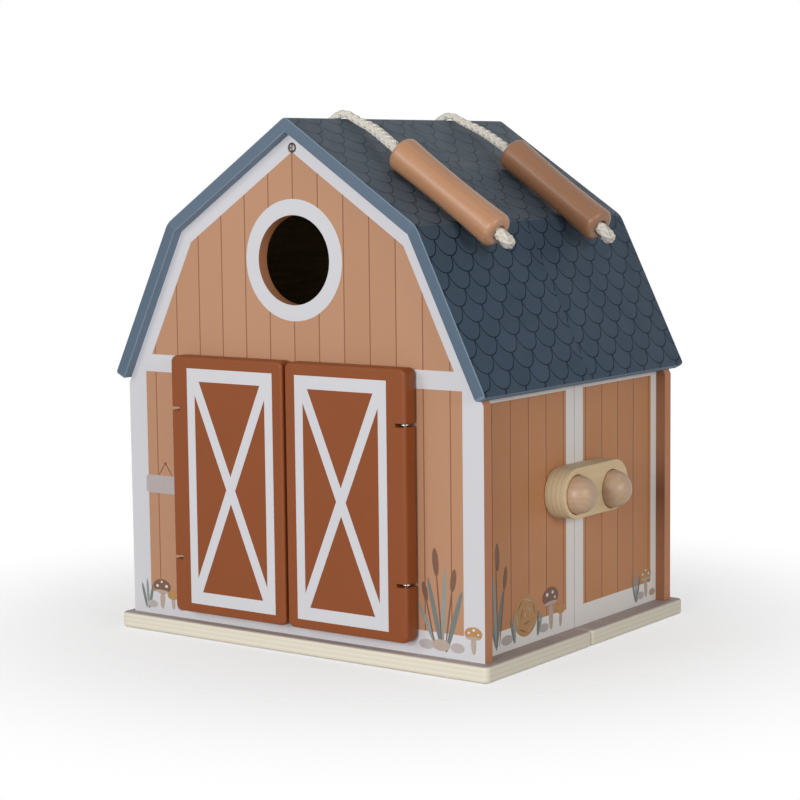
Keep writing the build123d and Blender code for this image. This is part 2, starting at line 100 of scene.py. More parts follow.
# Side of the ridge, distance down the slope, Y, height over the roof, girth.
front_route = [
    (LEFT, 0.106, -0.0585, -0.00787, 1.00),
    (LEFT, 0.106, -0.0585, 0.001, 1.05),
    (LEFT, 0.0965, -0.0587, 0.0083, 1.15),
    (LEFT, 0.076, -0.0592, 0.0043, 1.05),
    (LEFT, 0.05, -0.06, 0.0035, 1.05),
    (LEFT, 0.026, -0.0606, 0.0035, 1.05),
    (LEFT, 0.0105, -0.0609, 0.0035, 0.85),
    (LEFT, -0.0025, -0.061, 0.00375, 0.74),
    (RIGHT, 0.0105, -0.0612, 0.005, 0.82),
    (RIGHT, 0.027, -0.0629, 0.0081, 1.06),
    (RIGHT, 0.046, -0.0709, 0.0108, 1.10),
    (RIGHT, 0.062, -0.0739, 0.0116, 1.00),
    (RIGHT, 0.1, -0.0743, 0.0116, 1.00),
    (RIGHT, 0.132, -0.0747, 0.0116, 1.00),
    (RIGHT, 0.1466, -0.0748, 0.0114, 1.12),
    (RIGHT, 0.1506, -0.0686, 0.0092, 1.20),
    (RIGHT, 0.1464, -0.0618, 0.0049, 1.18),
    (RIGHT, 0.134, -0.0589, 0.0034, 1.00),
    (RIGHT, 0.116, -0.0585, 0.0086, 1.10),
    (RIGHT, 0.106, -0.0585, 0.001, 1.10),
    (RIGHT, 0.106, -0.0585, -0.00787, 1.00),
]
rear_route = [
    (LEFT, 0.106, 0.0625, -0.00787, 1.00),
    (LEFT, 0.106, 0.0625, 0.001, 1.05),
    (LEFT, 0.0966, 0.0619, 0.0084, 1.15),
    (LEFT, 0.076, 0.06, 0.0043, 1.05),
    (LEFT, 0.051, 0.0578, 0.0035, 1.00),
    (LEFT, 0.026, 0.0564, 0.0035, 1.00),
    (LEFT, 0.0105, 0.056, 0.0035, 0.80),
    (LEFT, -0.0025, 0.0562, 0.00375, 0.70),
    (RIGHT, 0.0105, 0.0574, 0.005, 0.76),
    (RIGHT, 0.026, 0.0572, 0.0079, 0.90),
    (RIGHT, 0.044, 0.0531, 0.0104, 0.95),
    (RIGHT, 0.063, 0.05, 0.0116, 1.00),
    (RIGHT, 0.1, 0.04685, 0.0116, 1.00),
    (RIGHT, 0.132, 0.0442, 0.0116, 1.00),
    (RIGHT, 0.1472, 0.0429, 0.0113, 1.12),
    (RIGHT, 0.1516, 0.0494, 0.0086, 1.20),
    (RIGHT, 0.1476, 0.0562, 0.0043, 1.18),
    (RIGHT, 0.136, 0.0594, 0.0033, 0.98),
    (RIGHT, 0.116, 0.0619, 0.0086, 1.10),
    (RIGHT, 0.106, 0.0625, 0.001, 1.10),
    (RIGHT, 0.106, 0.0625, -0.00787, 1.00),
]


def over_roof(side, down, y, height):
    """Point over the upper slope: down from the ridge, along Y, above the roof."""
    run = Vector((side * math.cos(UPPER_ANGLE), 0, -math.sin(UPPER_ANGLE)))
    rise = Vector((side * math.sin(UPPER_ANGLE), 0, math.cos(UPPER_ANGLE)))
    return Vector((0, y, RIDGE_HEIGHT)) + run * down + rise * height


def smooth_line(controls):
    """Points along the smooth line that a route's NURBS spline draws."""
    line = bpy.data.curves.new("route", "CURVE")
    line.dimensions = "3D"
    line.resolution_u = 24
    spline = line.splines.new("NURBS")
    spline.points.add(len(controls) - 1)
    for point, place in zip(spline.points, controls):
        point.co = (*place, 1)
    spline.order_u = 3
    spline.use_endpoint_u = True
    holder = bpy.data.objects.new("route", line)
    drawn = bpy.data.meshes.new_from_object(holder)
    points = [vertex.co.copy() for vertex in drawn.vertices]
    bpy.data.objects.remove(holder)
    bpy.data.meshes.remove(drawn)
    bpy.data.curves.remove(line)
    return points


def even_steps(points, step):
    """The same line as points a step apart."""
    evened = [points[0]]
    left_over = 0.0
    for start, end in zip(points, points[1:]):
        run = (end - start).length
        reach = step - left_over
        while reach <= run:
            evened.append(start.lerp(end, reach / run))
            reach += step
        left_over = run - (reach - step)
    return evened


def cord_girths(controls, girths, count):
    """The cord's girth at each of a number of even steps, from those at its controls."""
    runs = [(b - a).length for a, b in zip(controls, controls[1:])]
    reached = [sum(runs[:index]) / sum(runs) for index in range(len(controls))]
    spread = []
    for number in range(count):
        share = number / (count - 1)
        after = next((i for i, r in enumerate(reached) if r >= share), len(reached) - 1)
        before = max(after - 1, 0)
        run = max(reached[after] - reached[before], 1e-6)
        part = min(max((share - reached[before]) / run, 0.0), 1.0)
        spread.append(girths[before] + (girths[after] - girths[before]) * part)
    return spread


def braided_cord(name, steps, girths):
    """A round braid along a line, as a mesh: eight strands laid over a core."""
    strands = bpy.data.curves.new(name, "CURVE")
    strands.dimensions = "3D"
    strands.bevel_depth = STRAND_RADIUS
    strands.bevel_resolution = 1
    strands.use_fill_caps = True
    lays = [
        (way, number * math.tau / STRANDS_EACH_WAY)
        for way in (-1, 1)
        for number in range(STRANDS_EACH_WAY)
    ]
    splines = [strands.splines.new("POLY") for _ in lays]
    core = strands.splines.new("POLY")
    for spline in splines + [core]:
        spline.points.add(len(steps) - 1)
        spline.use_smooth = True
    along = (steps[1] - steps[0]).normalized()
    across = along.orthogonal().normalized()
    for index, middle in enumerate(steps):
        if index:
            ahead = steps[min(index + 1, len(steps) - 1)] - steps[index - 1]
            across = along.rotation_difference(ahead) @ across
            along = ahead.normalized()
            across = (across - along * across.dot(along)).normalized()
        beside = along.cross(across)
        turned = math.tau * index * BRAID_STEP / BRAID_TURN
        over = STRAND_WEAVE * math.cos(STRANDS_EACH_WAY * turned)
        pressed = max(0.0, 1.0 - girths[index]) * ROPE_DIAMETER / 2
        middle = middle - Vector((0, 0, pressed))
        for spline, (way, start) in zip(splines, lays):
            angle = start + way * turned
            reach = (STRAND_RING + way * over) * girths[index]
            out = across * math.cos(angle) + beside * math.sin(angle)
            spline.points[index].co = (*(middle + out * reach), 1)
            spline.points[index].radius = girths[index]
        core.points[index].co = (*middle, 1)
        core.points[index].radius = CORE_RADIUS / STRAND_RADIUS * girths[index]
    holder = bpy.data.objects.new(name, strands)
    mesh = bpy.data.meshes.new_from_object(holder)
    bpy.data.objects.remove(holder)
    bpy.data.curves.remove(strands)
    mesh.name = name
    return mesh


def stand_piece(mesh, body, node=""):
    """A finished mesh as a piece of the same name, on its body and in a node's place."""
    piece = bpy.data.objects.new(mesh.name, mesh)
    scene.collection.objects.link(piece)
    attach(piece, body)
    if node:
        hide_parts(node)
    return piece


def linear(hex_colour):
    """An sRGB hex colour as the linear values a shader takes."""
    shares = [int(hex_colour[place : place + 2], 16) / 255 for place in (1, 3, 5)]
    curve = [s / 12.92 if s <= 0.04045 else ((s + 0.055) / 1.055) ** 2.4 for s in shares]
    return (*curve, 1.0)


def add(tree, kind, inputs=(), **settings):
    """Add a shader node with its settings and links; gives back its live output."""
    node = tree.nodes.new("ShaderNode" + kind)
    for name, value in settings.items():
        setattr(node, name, value)
    pairs = inputs.items() if isinstance(inputs, dict) else enumerate(inputs)
    for socket, value in pairs:
        if isinstance(value, bpy.types.NodeSocket):
            tree.links.new(value, node.inputs[socket])
        else:
            node.inputs[socket].default_value = value
    return next(output for output in node.outputs if output.enabled)


def new_finish(name, **sockets):
    """A new material; the sockets named here hold one value all over the surface."""
    finish = bpy.data.materials.new(name)
    finish.use_nodes = True
    shader = finish.node_tree.nodes["Principled BSDF"]
    for socket, value in sockets.items():
        shader.inputs[socket.replace("_", " ")].default_value = value
    return finish, finish.node_tree, shader


def millimetres(tree):
    """The place on the piece in millimetres, as a vector and as X, Y and Z."""
    place = add(tree, "TexCoord").node.outputs["Object"]
    scaled = add(tree, "VectorMath", {0: place, "Scale": 1000.0}, operation="SCALE")
    return scaled, add(tree, "SeparateXYZ", [scaled]).node.outputs


# Soft-spun cotton, unbleached: fibres too fine to resolve, so a 0.5 mm mottle and a
# 0.25 mm fuzz stand for them, coarser than the real ones.
cotton, tree, shader = new_finish(
    "braided_cotton", Roughness=0.92, Sheen_Weight=0.35, Sheen_Roughness=0.5
)
mm, _ = millimetres(tree)
mottle = add(tree, "TexNoise", {"Vector": mm, "Scale": 0.9, "Detail": 4.0, "Roughness": 0.65})
shade = add(
    tree, "Mix", {0: mottle, 6: linear("#DDD5C7"), 7: linear("#F5F0E6")}, data_type="RGBA"
)
fuzz = add(tree, "TexNoise", {"Vector": mm, "Scale": 4.0, "Detail": 3.0})
relief = add(tree, "Bump", {"Strength": 0.6, "Distance": 0.0003, "Height": fuzz})
tree.links.new(shade, shader.inputs["Base Color"])
tree.links.new(relief, shader.inputs["Normal"])

for half, route, length in (
    ("front", front_route, FRONT_LENGTH),
    ("rear", rear_route, REAR_LENGTH),
):
    controls = [over_roof(*place[:4]) for place in route]
    rope_steps = even_steps(smooth_line(controls), BRAID_STEP)
    girths = cord_girths(controls, [place[4] for place in route], len(rope_steps))
    mesh = braided_cord(f"rope_handle_{half}", rope_steps, girths)
    mesh.materials.append(cotton)
    rope = stand_piece(mesh, f"{half}_half", f"handle_rope_{half}")

# ---- Rope knots ------------------------------------------------------------------
# Each rope end is stopped under its roof board by an overhand knot pulled tight,
# in the same cotton, too big to slip back through the hole.
KNOT_GIRTH = 1.0
KNOT_STEPS = 24
KNOT_LOBE = 0.00165
KNOT_RISE = 0.0032
KNOT_DROP = 0.0073              # from the end of the straight rope to the knot's middle

for half, route in (("front", front_route), ("rear", rear_route)):
    joined = bmesh.new()
    for end, before in ((route[0], route[1]), (route[-1], route[-2])):
        tip = over_roof(*end[:4])
        down = (tip - over_roof(*before[:4])).normalized()
        upright = Vector((0, 0, 1)).rotation_difference(down).to_matrix()
        centre = tip + down * KNOT_DROP
        loop = []
        for step in range(KNOT_STEPS + 1):
            turn = math.tau * step / KNOT_STEPS
            lobes = Vector(
                (
                    math.sin(turn) + 2 * math.sin(2 * turn),
                    math.cos(turn) - 2 * math.cos(2 * turn),
                    0,
                )
            )
            rise = Vector((0, 0, -math.sin(3 * turn)))
            loop.append(centre + upright @ (lobes * KNOT_LOBE + rise * KNOT_RISE))
        steps = even_steps(smooth_line(loop), BRAID_STEP)
        knot = braided_cord("knot", steps, [KNOT_GIRTH] * len(steps))
        joined.from_mesh(knot)
        bpy.data.meshes.remove(knot)
    mesh = bpy.data.meshes.new(f"tight_knots_{half}")
    joined.to_mesh(mesh)
    joined.free()
    mesh.materials.append(cotton)
    stand_piece(mesh, f"{half}_half", f"rope_knots_{half}")

# ---- Floor and light -------------------------------------------------------------
# A white paper sweep, which fades into the white room so that no horizon shows, lit by
# two soft lights in front and one at the right, under a dark ceiling.
FLOOR_RADIUS = 1.6
FADE_FROM = 0.08                # out to here the paper is clear by FADE_LEAST
FADE_TO = 0.41                  # and from here on it is clear altogether
FADE_LEAST = 0.56
CEILING_LEVEL = 0.04
WALL_LEVEL = 0.33
LAMP_SIZE = 0.9
AIM_HEIGHT = 0.15

bm = bmesh.new()
bmesh.ops.create_circle(bm, cap_ends=True, segments=96, radius=FLOOR_RADIUS)
mesh = bpy.data.meshes.new("paper_floor")
bm.to_mesh(mesh)
bm.free()
floor = bpy.data.objects.new("paper_floor", mesh)
scene.collection.objects.link(floor)

# Matt white paper, with the faint tooth that keeps it from looking like plastic.
paper, tree, shader = new_finish("matt_white_paper", Roughness=0.95)
place = add(tree, "TexCoord").node.outputs["Object"]
distance = add(tree, "VectorMath", [place], operation="LENGTH")
fade = add(
    tree,
    "MapRange",
    {0: distance, 1: FADE_FROM, 2: FADE_TO, 3: FADE_LEAST, 4: 1.0},
    interpolation_type="SMOOTHSTEP",
)
tooth = add(tree, "TexNoise", {"Vector": place, "Scale": 900.0, "Detail": 2.0})
white = add(
    tree, "Mix", {0: tooth, 6: linear("#F2F2F2"), 7: linear("#F5F5F5")}, data_type="RGBA"
)
tree.links.new(white, shader.inputs["Base Color"])
clear = add(tree, "BsdfTransparent")
faded = add(tree, "MixShader", [fade, shader.outputs[0], clear])
tree.links.new(faded, tree.nodes["Material Output"].inputs["Surface"])
mesh.materials.append(paper)

# Painted white, so it shows and mirrors as plain white, but it lights the barn less,
# and least from above.
world = bpy.data.worlds.new("white_room")
world.use_nodes = True
scene.world = world
tree = world.node_tree
ray = add(tree, "LightPath").node.outputs
seen = add(tree, "Math", [ray["Is Camera Ray"], ray["Is Glossy Ray"]], operation="MAXIMUM")
seen = add(tree, "Math", [seen, ray["Is Transmission Ray"]], operation="MAXIMUM")
upward = add(tree, "TexCoord").node.outputs["Generated"]
upward = add(tree, "SeparateXYZ", [upward]).node.outputs["Z"]
room = add(
    tree, "MapRange", {0: upward, 1: 0.1, 2: 0.9, 3: WALL_LEVEL, 4: CEILING_LEVEL}
)
level = add(tree, "Mix", {0: seen, 2: room, 3: 1.0}, data_type="FLOAT")
tree.links.new(level, tree.nodes["Background"].inputs["Strength"])
tree.nodes["Background"].inputs["Color"].default_value = (1, 1, 1, 1)

for name, place, power in (
    ("soft_light_front_left", (-0.9, -2.1, 1.0), 10),
    ("soft_light_front", (0.4, -2.4, 0.6), 27),
    ("soft_light_right", (2.3, -0.6, 0.75), 15),
):
    lamp = bpy.data.lights.new(name, "AREA")
    lamp.shape = "DISK"
    lamp.size = LAMP_SIZE
    lamp.energy = power
    light = bpy.data.objects.new(name, lamp)
    light.location = place
    aim = Vector((0, 0, AIM_HEIGHT)) - light.location
    light.rotation_euler = aim.to_track_quat("-Z", "Y").to_euler()
    scene.collection.objects.link(light)

# ---- Gables ----------------------------------------------------------------------
# 8 mm birch plywood, cut to the roof's underside, painted terracotta on its edges and
# printed outside with planks and white trim.  The front one has the window and doorway.
SHARP = math.radians(30)
# Bare plywood inside the barn, toned darker than the birch: painted shade for the dark inside.
SHADED_BARE_PLYWOOD = ("#B9A688", "#A79373")
PRINTED_WHITE = "#D6D5D9"
PLANK_LINE = 0.42               # half the width of a printed line, mm
GABLE_PLANK = 19.4
CORNER_TRIM = 125.0             # from here out to the gable's edge
RAIL_MIDDLE = 177.35
RAIL_HALF = 5.65
SKIRTING = 25.5
ROOF_TRIM = 10.0
WINDOW_PLACE = (0.0, 0.0, 246.3)
RING_MIDDLE = 32.75
RING_HALF = 4.95
LOWER_ANGLE = math.radians(64)
INNER_RIDGE = (0.0, 324.85)     # corners of the roof's underside, X and Z in mm
INNER_KNEE = (91.41, 263.193)
GABLE_FACE = 113.0              # outer face of a gable, from the seam
SIDE_FACE = 133.3               # outer face of a side wall, from the barn's middle
GABLE_BROAD = 75.0              # a broad face's normal times its place is past this


def board_from(node, finish, ease=0.0):
    """A copy of a CAD solid, merged, with sharp edges eased, that stands in its place."""
    solid = frame["nodes"][node]
    bm = bmesh.new()
    bm.from_mesh(solid.data)
    bmesh.ops.remove_doubles(bm, verts=bm.verts, dist=1e-6)
    if ease:
        bmesh.ops.dissolve_limit(
            bm, angle_limit=math.radians(0.5), verts=bm.verts, edges=bm.edges
        )
    for face in bm.faces:
        face.smooth = True
        face.material_index = 0
    for edge in bm.edges:
        edge.smooth = edge.calc_face_angle(0.0) < SHARP
    mesh = bpy.data.meshes.new(node + "_piece")
    bm.to_mesh(mesh)
    bm.free()
    normals = mesh.attributes.get("custom_normal")
    if normals:
        mesh.attributes.remove(normals)
    mesh.materials.append(finish)
    piece = stand_piece(mesh, solid["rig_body"], node)
    if ease:
        rounding = piece.modifiers.new("eased_edges", "BEVEL")
        rounding.width = ease
        rounding.segments = 2
        rounding.limit_method = "ANGLE"
        rounding.angle_limit = SHARP
        rounding.harden_normals = True


def facing(tree):
    """Which way the piece's own surface faces, as X, Y and Z."""
    normal = add(tree, "TexCoord").node.outputs["Normal"]
    return add(tree, "SeparateXYZ", [normal]).node.outputs


def wood_grain(tree, mm, cycles, light, dark):
    """Long grain; cycles is how often it changes in a mm along X, Y and Z."""
    drawn = add(tree, "VectorMath", [mm, cycles], operation="MULTIPLY")
    fibre = add(
        tree,
        "TexNoise",
        {"Vector": drawn, "Scale": 1.0, "Detail": 6.0, "Roughness": 0.62, "Distortion": 0.5},
    )
    spread = add(tree, "MapRange", {0: fibre, 1: 0.32, 2: 0.68, 3: 0.0, 4: 1.0})
    return add(
        tree, "Mix", {0: spread, 6: linear(light), 7: linear(dark)}, data_type="RGBA"
    )


def plank_shades(tree, across, pitch, light, dark, line):
    """Printed planks: each its own shade, with a thin dark line between them."""
    share = add(tree, "Math", [across, pitch], operation="DIVIDE")
    number = add(tree, "Math", [share], operation="FLOOR")
    chance = add(tree, "TexWhiteNoise", {"W": number}, noise_dimensions="1D")
    plank = add(
        tree, "Mix", {0: chance, 6: linear(light), 7: linear(dark)}, data_type="RGBA"
    )
    off = add(tree, "Math", [across, pitch / 2], operation="PINGPONG")
    on_line = add(tree, "Math", [off, PLANK_LINE], operation="LESS_THAN")
    return add(tree, "Mix", {0: on_line, 6: plank, 7: linear(line)}, data_type="RGBA")


def satin_coat(tree, shader, mm, shade, gloss_from=0.42, gloss_to=0.54):
    """Satin lacquer over paint or print: a 1.5 mm roller peel and a 12 mm sheen drift."""
    peel = add(tree, "TexNoise", {"Vector": mm, "Scale": 0.65, "Detail": 3.0})
    relief = add(tree, "Bump", {"Strength": 0.12, "Distance": 0.0002, "Height": peel})
    drift = add(tree, "TexNoise", {"Vector": mm, "Scale": 0.08, "Detail": 2.0})
    gloss = add(tree, "MapRange", {0: drift, 1: 0.3, 2: 0.7, 3: gloss_from, 4: gloss_to})
    tree.links.new(shade, shader.inputs["Base Color"])
    tree.links.new(relief, shader.inputs["Normal"])
    tree.links.new(gloss, shader.inputs["Roughness"])


# Screen-printed and lacquered birch plywood: flat colour with crisp edges, no grain
# showing through, a soft sheen; the inner face is bare, with its long grain, toned darker
# as painted shade, and where it stands past the side walls its edge paint is a darker
# brown than the terracotta, also painted shade.
gable_print, tree, shader = new_finish(
    "printed_birch_plywood_gable", IOR=1.5, Specular_IOR_Level=0.25
)
mm, (x, y, z) = millimetres(tree)
face_y = facing(tree)["Y"]
planks = plank_shades(tree, x, GABLE_PLANK, "#BF9071", "#BA8B6B", "#906248")
half_x = add(tree, "Math", [x], operation="ABSOLUTE")
folded = add(tree, "CombineXYZ", [half_x, 0.0, z])
trims = [
    add(tree, "Math", [half_x, CORNER_TRIM], operation="GREATER_THAN"),
    add(tree, "Math", [z, SKIRTING], operation="LESS_THAN"),
    add(tree, "Math", [z, RAIL_MIDDLE, RAIL_HALF], operation="COMPARE"),
]
for angle, corner in ((UPPER_ANGLE, INNER_RIDGE), (LOWER_ANGLE, INNER_KNEE)):
    out = (math.sin(angle), 0.0, math.cos(angle))
    reach = add(tree, "VectorMath", [folded, out], operation="DOT_PRODUCT")
    trim_from = corner[0] * out[0] + corner[1] * out[2] - ROOF_TRIM
    trims.append(add(tree, "Math", [reach, trim_from], operation="GREATER_THAN"))
flat = add(tree, "CombineXYZ", [x, 0.0, z])
from_window = add(tree, "VectorMath", [flat, WINDOW_PLACE], operation="DISTANCE")
ring = add(tree, "Math", [from_window, RING_MIDDLE, RING_HALF], operation="COMPARE")
front = add(tree, "Math", [y, 0.0], operation="LESS_THAN")
trims.append(add(tree, "Math", [ring, front], operation="MULTIPLY"))
white = trims[0]
for trim in trims[1:]:
    white = add(tree, "Math", [white, trim], operation="MAXIMUM")
printed = add(
    tree, "Mix", {0: white, 6: planks, 7: linear(PRINTED_WHITE)}, data_type="RGBA"
)
outward = add(tree, "Math", [face_y, y], operation="MULTIPLY")
outside = add(tree, "Math", [outward, GABLE_BROAD], operation="GREATER_THAN")
inside = add(tree, "Math", [outward, -GABLE_BROAD], operation="LESS_THAN")
# On the inward strip past the side walls the edge paint is a darker brown: painted shade.
edge = add(
    tree, "Mix", {0: inside, 6: linear("#C0825D"), 7: linear("#8F6044")}, data_type="RGBA"
)
in_room = add(tree, "Math", [half_x, SIDE_FACE], operation="LESS_THAN")
inside = add(tree, "Math", [inside, in_room], operation="MULTIPLY")
painted = add(tree, "Mix", {0: outside, 6: edge, 7: printed}, data_type="RGBA")
bare = wood_grain(tree, mm, (0.35, 0.35, 0.02), *SHADED_BARE_PLYWOOD)
shade = add(tree, "Mix", {0: inside, 6: painted, 7: bare}, data_type="RGBA")
satin_coat(tree, shader, mm, shade)

for half in ("front", "rear"):
    board_from(f"gable_{half}", gable_print, ease=0.0004)

# ---- Side walls ------------------------------------------------------------------
# The same plywood, set in from the gables' edges and glued between them.  The printed
# white posts of the two halves meet at the seam under the latch.
SIDE_PLANK = 20.2
SIDE_FIRST_LINE = 13.5
SEAM_POST = 10.3
SIDE_SKIRTING = 24.3
EAVE_TRIM_MIDDLE = 165.15
EAVE_TRIM_HALF = 1.85
REAR_TRIM = 97.5
SIDE_BROAD = 90.0               # as GABLE_BROAD, along X

# The gables' print and lacquer, with slightly wider and warmer planks and a lighter
# white, painted light making up for the weaker light on the sides: flat and crisp
# outside, bare and grained on the inner face, toned darker as painted shade.
side_print, tree, shader = new_finish(
    "printed_birch_plywood_side", IOR=1.5, Specular_IOR_Level=0.25
)
mm, (x, y, z) = millimetres(tree)
face_x = facing(tree)["X"]
half_y = add(tree, "Math", [y], operation="ABSOLUTE")
across = add(tree, "Math", [half_y, SIDE_FIRST_LINE], operation="SUBTRACT")
planks = plank_shades(tree, across, SIDE_PLANK, "#C68A5E", "#C1855B", "#8A5A3C")
white = add(tree, "Math", [half_y, SEAM_POST], operation="LESS_THAN")
for trim in (
    add(tree, "Math", [z, SIDE_SKIRTING], operation="LESS_THAN"),
    add(tree, "Math", [z, EAVE_TRIM_MIDDLE, EAVE_TRIM_HALF], operation="COMPARE"),
    add(tree, "Math", [y, REAR_TRIM], operation="GREATER_THAN"),
):
    white = add(tree, "Math", [white, trim], operation="MAXIMUM")
# The side's white is lighter than the same white ink on the gables: painted light.
printed = add(tree, "Mix", {0: white, 6: planks, 7: linear("#ECE7E3")}, data_type="RGBA")
outward = add(tree, "Math", [face_x, x], operation="MULTIPLY")
outside = add(tree, "Math", [outward, SIDE_BROAD], operation="GREATER_THAN")
inside = add(tree, "Math", [outward, -SIDE_BROAD], operation="LESS_THAN")
painted = add(
    tree, "Mix", {0: outside, 6: linear("#BC7C59"), 7: printed}, data_type="RGBA"
)
bare = wood_grain(tree, mm, (0.35, 0.35, 0.02), *SHADED_BARE_PLYWOOD)
shade = add(tree, "Mix", {0: inside, 6: painted, 7: bare}, data_type="RGBA")
satin_coat(tree, shader, mm, shade)

for half in ("front", "rear"):
    for side in ("left", "right"):
        board_from(f"side_{half}_{side}", side_print, ease=0.0003)

# ---- Roof ------------------------------------------------------------------------
# Four 8 mm plywood boards to each half, mitred at ridge and knee, painted blue-grey
# and printed on top with rows of round-ended shingles, each row half a shingle across.
SHINGLE_RADIUS = 10.9
SHINGLE_ROW = 10.8
FIRST_ROW = 9.9                 # below the knee
FRONT_SHIFT = 1.7               # a cusp's Y on each half
REAR_SHIFT = 13.5
SHINGLE_LINE = 0.44
KNEE = (97.661, 268.627)
GABLE_BACK = 105.0
UPPER_SLOPE = 117.8             # ridge to knee
END_ON = 0.6                    # from here on a face looks along the ridge
UNDER_PRINT = -0.42             # a face that looks down no more than this is printed
UNDERSIDE = -0.3                # one that looks down more than this can be bare
EASED_MIDDLE = 0.66             # how far along the ridge an eased end looks
EASED_HALF = 0.24


# Matt blue-grey paint, a darker print and a dull lacquer, so that the slopes take the
# light evenly; a lighter blue on the undersides outside the barn, painted light from
# below; a pale band along the eased ends, partly rubbed wear and partly a painted
# highlight; bare inside the barn, toned darker as painted shade.
def shingled_board(name, angle, corner, start, light, dark, shine):
    """Shingle print on one slope; start is how far down the print its top corner is."""
    finish, tree, shader = new_finish(name, IOR=1.5, Specular_IOR_Level=shine)
    mm, (x, y, z) = millimetres(tree)
    _, face_y, face_z = facing(tree)
    half_x = add(tree, "Math", [x], operation="ABSOLUTE")
    folded = add(tree, "CombineXYZ", [half_x, 0.0, z])
    down = (math.cos(angle), 0.0, -math.sin(angle))
    reach = add(tree, "VectorMath", [folded, down], operation="DOT_PRODUCT")
    top = corner[0] * down[0] + corner[1] * down[2] - start
    below = add(tree, "Math", [reach, top], operation="SUBTRACT")
    share = add(tree, "Math", [below, SHINGLE_ROW], operation="DIVIDE")
    row = add(tree, "Math", [share], operation="FLOOR")
    in_row = add(tree, "Math", [below, SHINGLE_ROW], operation="FLOORED_MODULO")
    odd = add(tree, "Math", [row, 2.0], operation="FLOORED_MODULO")
    is_rear = add(tree, "Math", [y, 0.0], operation="GREATER_THAN")
    shift = add(
        tree, "MapRange", {0: is_rear, 1: 0.0, 2: 1.0, 3: FRONT_SHIFT, 4: REAR_SHIFT}
    )
    along = add(tree, "Math", [y, shift], operation="SUBTRACT")
    slid = add(tree, "Math", [odd, -SHINGLE_RADIUS, along], operation="MULTIPLY_ADD")
    beside = add(tree, "Math", [slid, 2 * SHINGLE_RADIUS], operation="FLOORED_MODULO")
    beside = add(tree, "Math", [beside, SHINGLE_RADIUS], operation="SUBTRACT")
    spot = add(tree, "CombineXYZ", [beside, in_row, 0.0])
    from_middle = add(tree, "VectorMath", [spot], operation="LENGTH")
    arc = SHINGLE_RADIUS - SHINGLE_LINE
    line = add(tree, "Math", [from_middle, arc, SHINGLE_LINE], operation="COMPARE")
    past = add(tree, "Math", [from_middle, SHINGLE_RADIUS], operation="GREATER_THAN")
    own_row = add(tree, "Math", [row, past], operation="ADD")
    own_odd = add(tree, "Math", [own_row, 2.0], operation="FLOORED_MODULO")
    slid = add(tree, "Math", [own_odd, -SHINGLE_RADIUS, along], operation="MULTIPLY_ADD")
    number = add(tree, "Math", [slid, 2 * SHINGLE_RADIUS], operation="DIVIDE")
    number = add(tree, "Math", [number], operation="FLOOR")
    which = add(tree, "CombineXYZ", [number, own_row, is_rear])
    chance = add(tree, "TexWhiteNoise", {"Vector": which}, noise_dimensions="3D")
    tone = add(
        tree, "Mix", {0: chance, 6: linear(light), 7: linear(dark)}, data_type="RGBA"
    )
    printed = add(
        tree, "Mix", {0: line, 6: tone, 7: linear("#0C1C29")}, data_type="RGBA"
    )
    endwise = add(tree, "Math", [face_y], operation="ABSOLUTE")
    on_slope = add(tree, "Math", [endwise, END_ON], operation="LESS_THAN")
    on_top = add(tree, "Math", [face_z, UNDER_PRINT], operation="GREATER_THAN")
    on_top = add(tree, "Math", [on_top, on_slope], operation="MULTIPLY")
    beneath = add(tree, "Math", [face_z, UNDERSIDE], operation="LESS_THAN")
    # The undersides outside the barn are a lighter blue than the verges: painted light from
    # below.
    plain = add(
        tree, "Mix", {0: beneath, 6: linear("#5D6E7F"), 7: linear("#708296")}, data_type="RGBA"
    )
    painted = add(tree, "Mix", {0: on_top, 6: plain, 7: printed}, data_type="RGBA")
    # A pale band along the eased ends: partly rubbed wear, partly a painted highlight.
    worn_and_painted_highlight = add(tree, "Math", [endwise, EASED_MIDDLE, EASED_HALF], operation="COMPARE")
    painted = add(
        tree, "Mix", {0: worn_and_painted_highlight, 6: painted, 7: linear("#7E90A0")}, data_type="RGBA"
    )
    half_y = add(tree, "Math", [y], operation="ABSOLUTE")
    indoors = add(tree, "Math", [half_y, GABLE_BACK], operation="LESS_THAN")
    between = add(tree, "Math", [half_x, SIDE_FACE], operation="LESS_THAN")
    indoors = add(tree, "Math", [indoors, between], operation="MULTIPLY")
    beneath = add(tree, "Math", [beneath, indoors], operation="MULTIPLY")
    bare = wood_grain(tree, mm, (0.35, 0.02, 0.35), *SHADED_BARE_PLYWOOD)
    shade = add(tree, "Mix", {0: beneath, 6: painted, 7: bare}, data_type="RGBA")
    satin_coat(tree, shader, mm, shade, 0.52, 0.64)
    return finish


# The upper boards' blue is greyer and a little lighter than the lower boards' same paint:
# painted sheen.
upper_shingles = shingled_board(
    "shingle_printed_plywood_upper",
    UPPER_ANGLE,
    (0.0, 1000 * RIDGE_HEIGHT),
    -UPPER_SLOPE - FIRST_ROW,
    "#4A5764",
    "#44525E",
    0.3,
)
lower_shingles = shingled_board(
    "shingle_printed_plywood_lower",
    LOWER_ANGLE,
    KNEE,
    -FIRST_ROW,
    "#455566",
    "#3F5060",
    0.12,
)
for half in ("front", "rear"):
    for side in ("left", "right"):
        board_from(f"roof_{half}_{side}_upper", upper_shingles)
        board_from(f"roof_{half}_{side}_lower", lower_shingles)

# ---- Base boards -----------------------------------------------------------------
# 10.5 mm plywood, one board to each half, sanded round at the edges and left bare:
# the plies show on the edge as faint level stripes, and the top is painted a darker
# pinkish grey, as painted shade and a painted reflection of the walls.
BASE_PLY = 1.5


def raised_fibres(tree, shader, mm, cycles, strength):
    """The short fibres that sanding raises on bare wood, as a relief along the grain."""
    drawn = add(tree, "VectorMath", [mm, cycles], operation="MULTIPLY")
    fibres = add(tree, "TexNoise", {"Vector": drawn, "Scale": 1.0, "Detail": 4.0})
    relief = add(tree, "Bump", {"Strength": strength, "Distance": 0.0002, "Height": fibres})
    tree.links.new(relief, shader.inputs["Normal"])
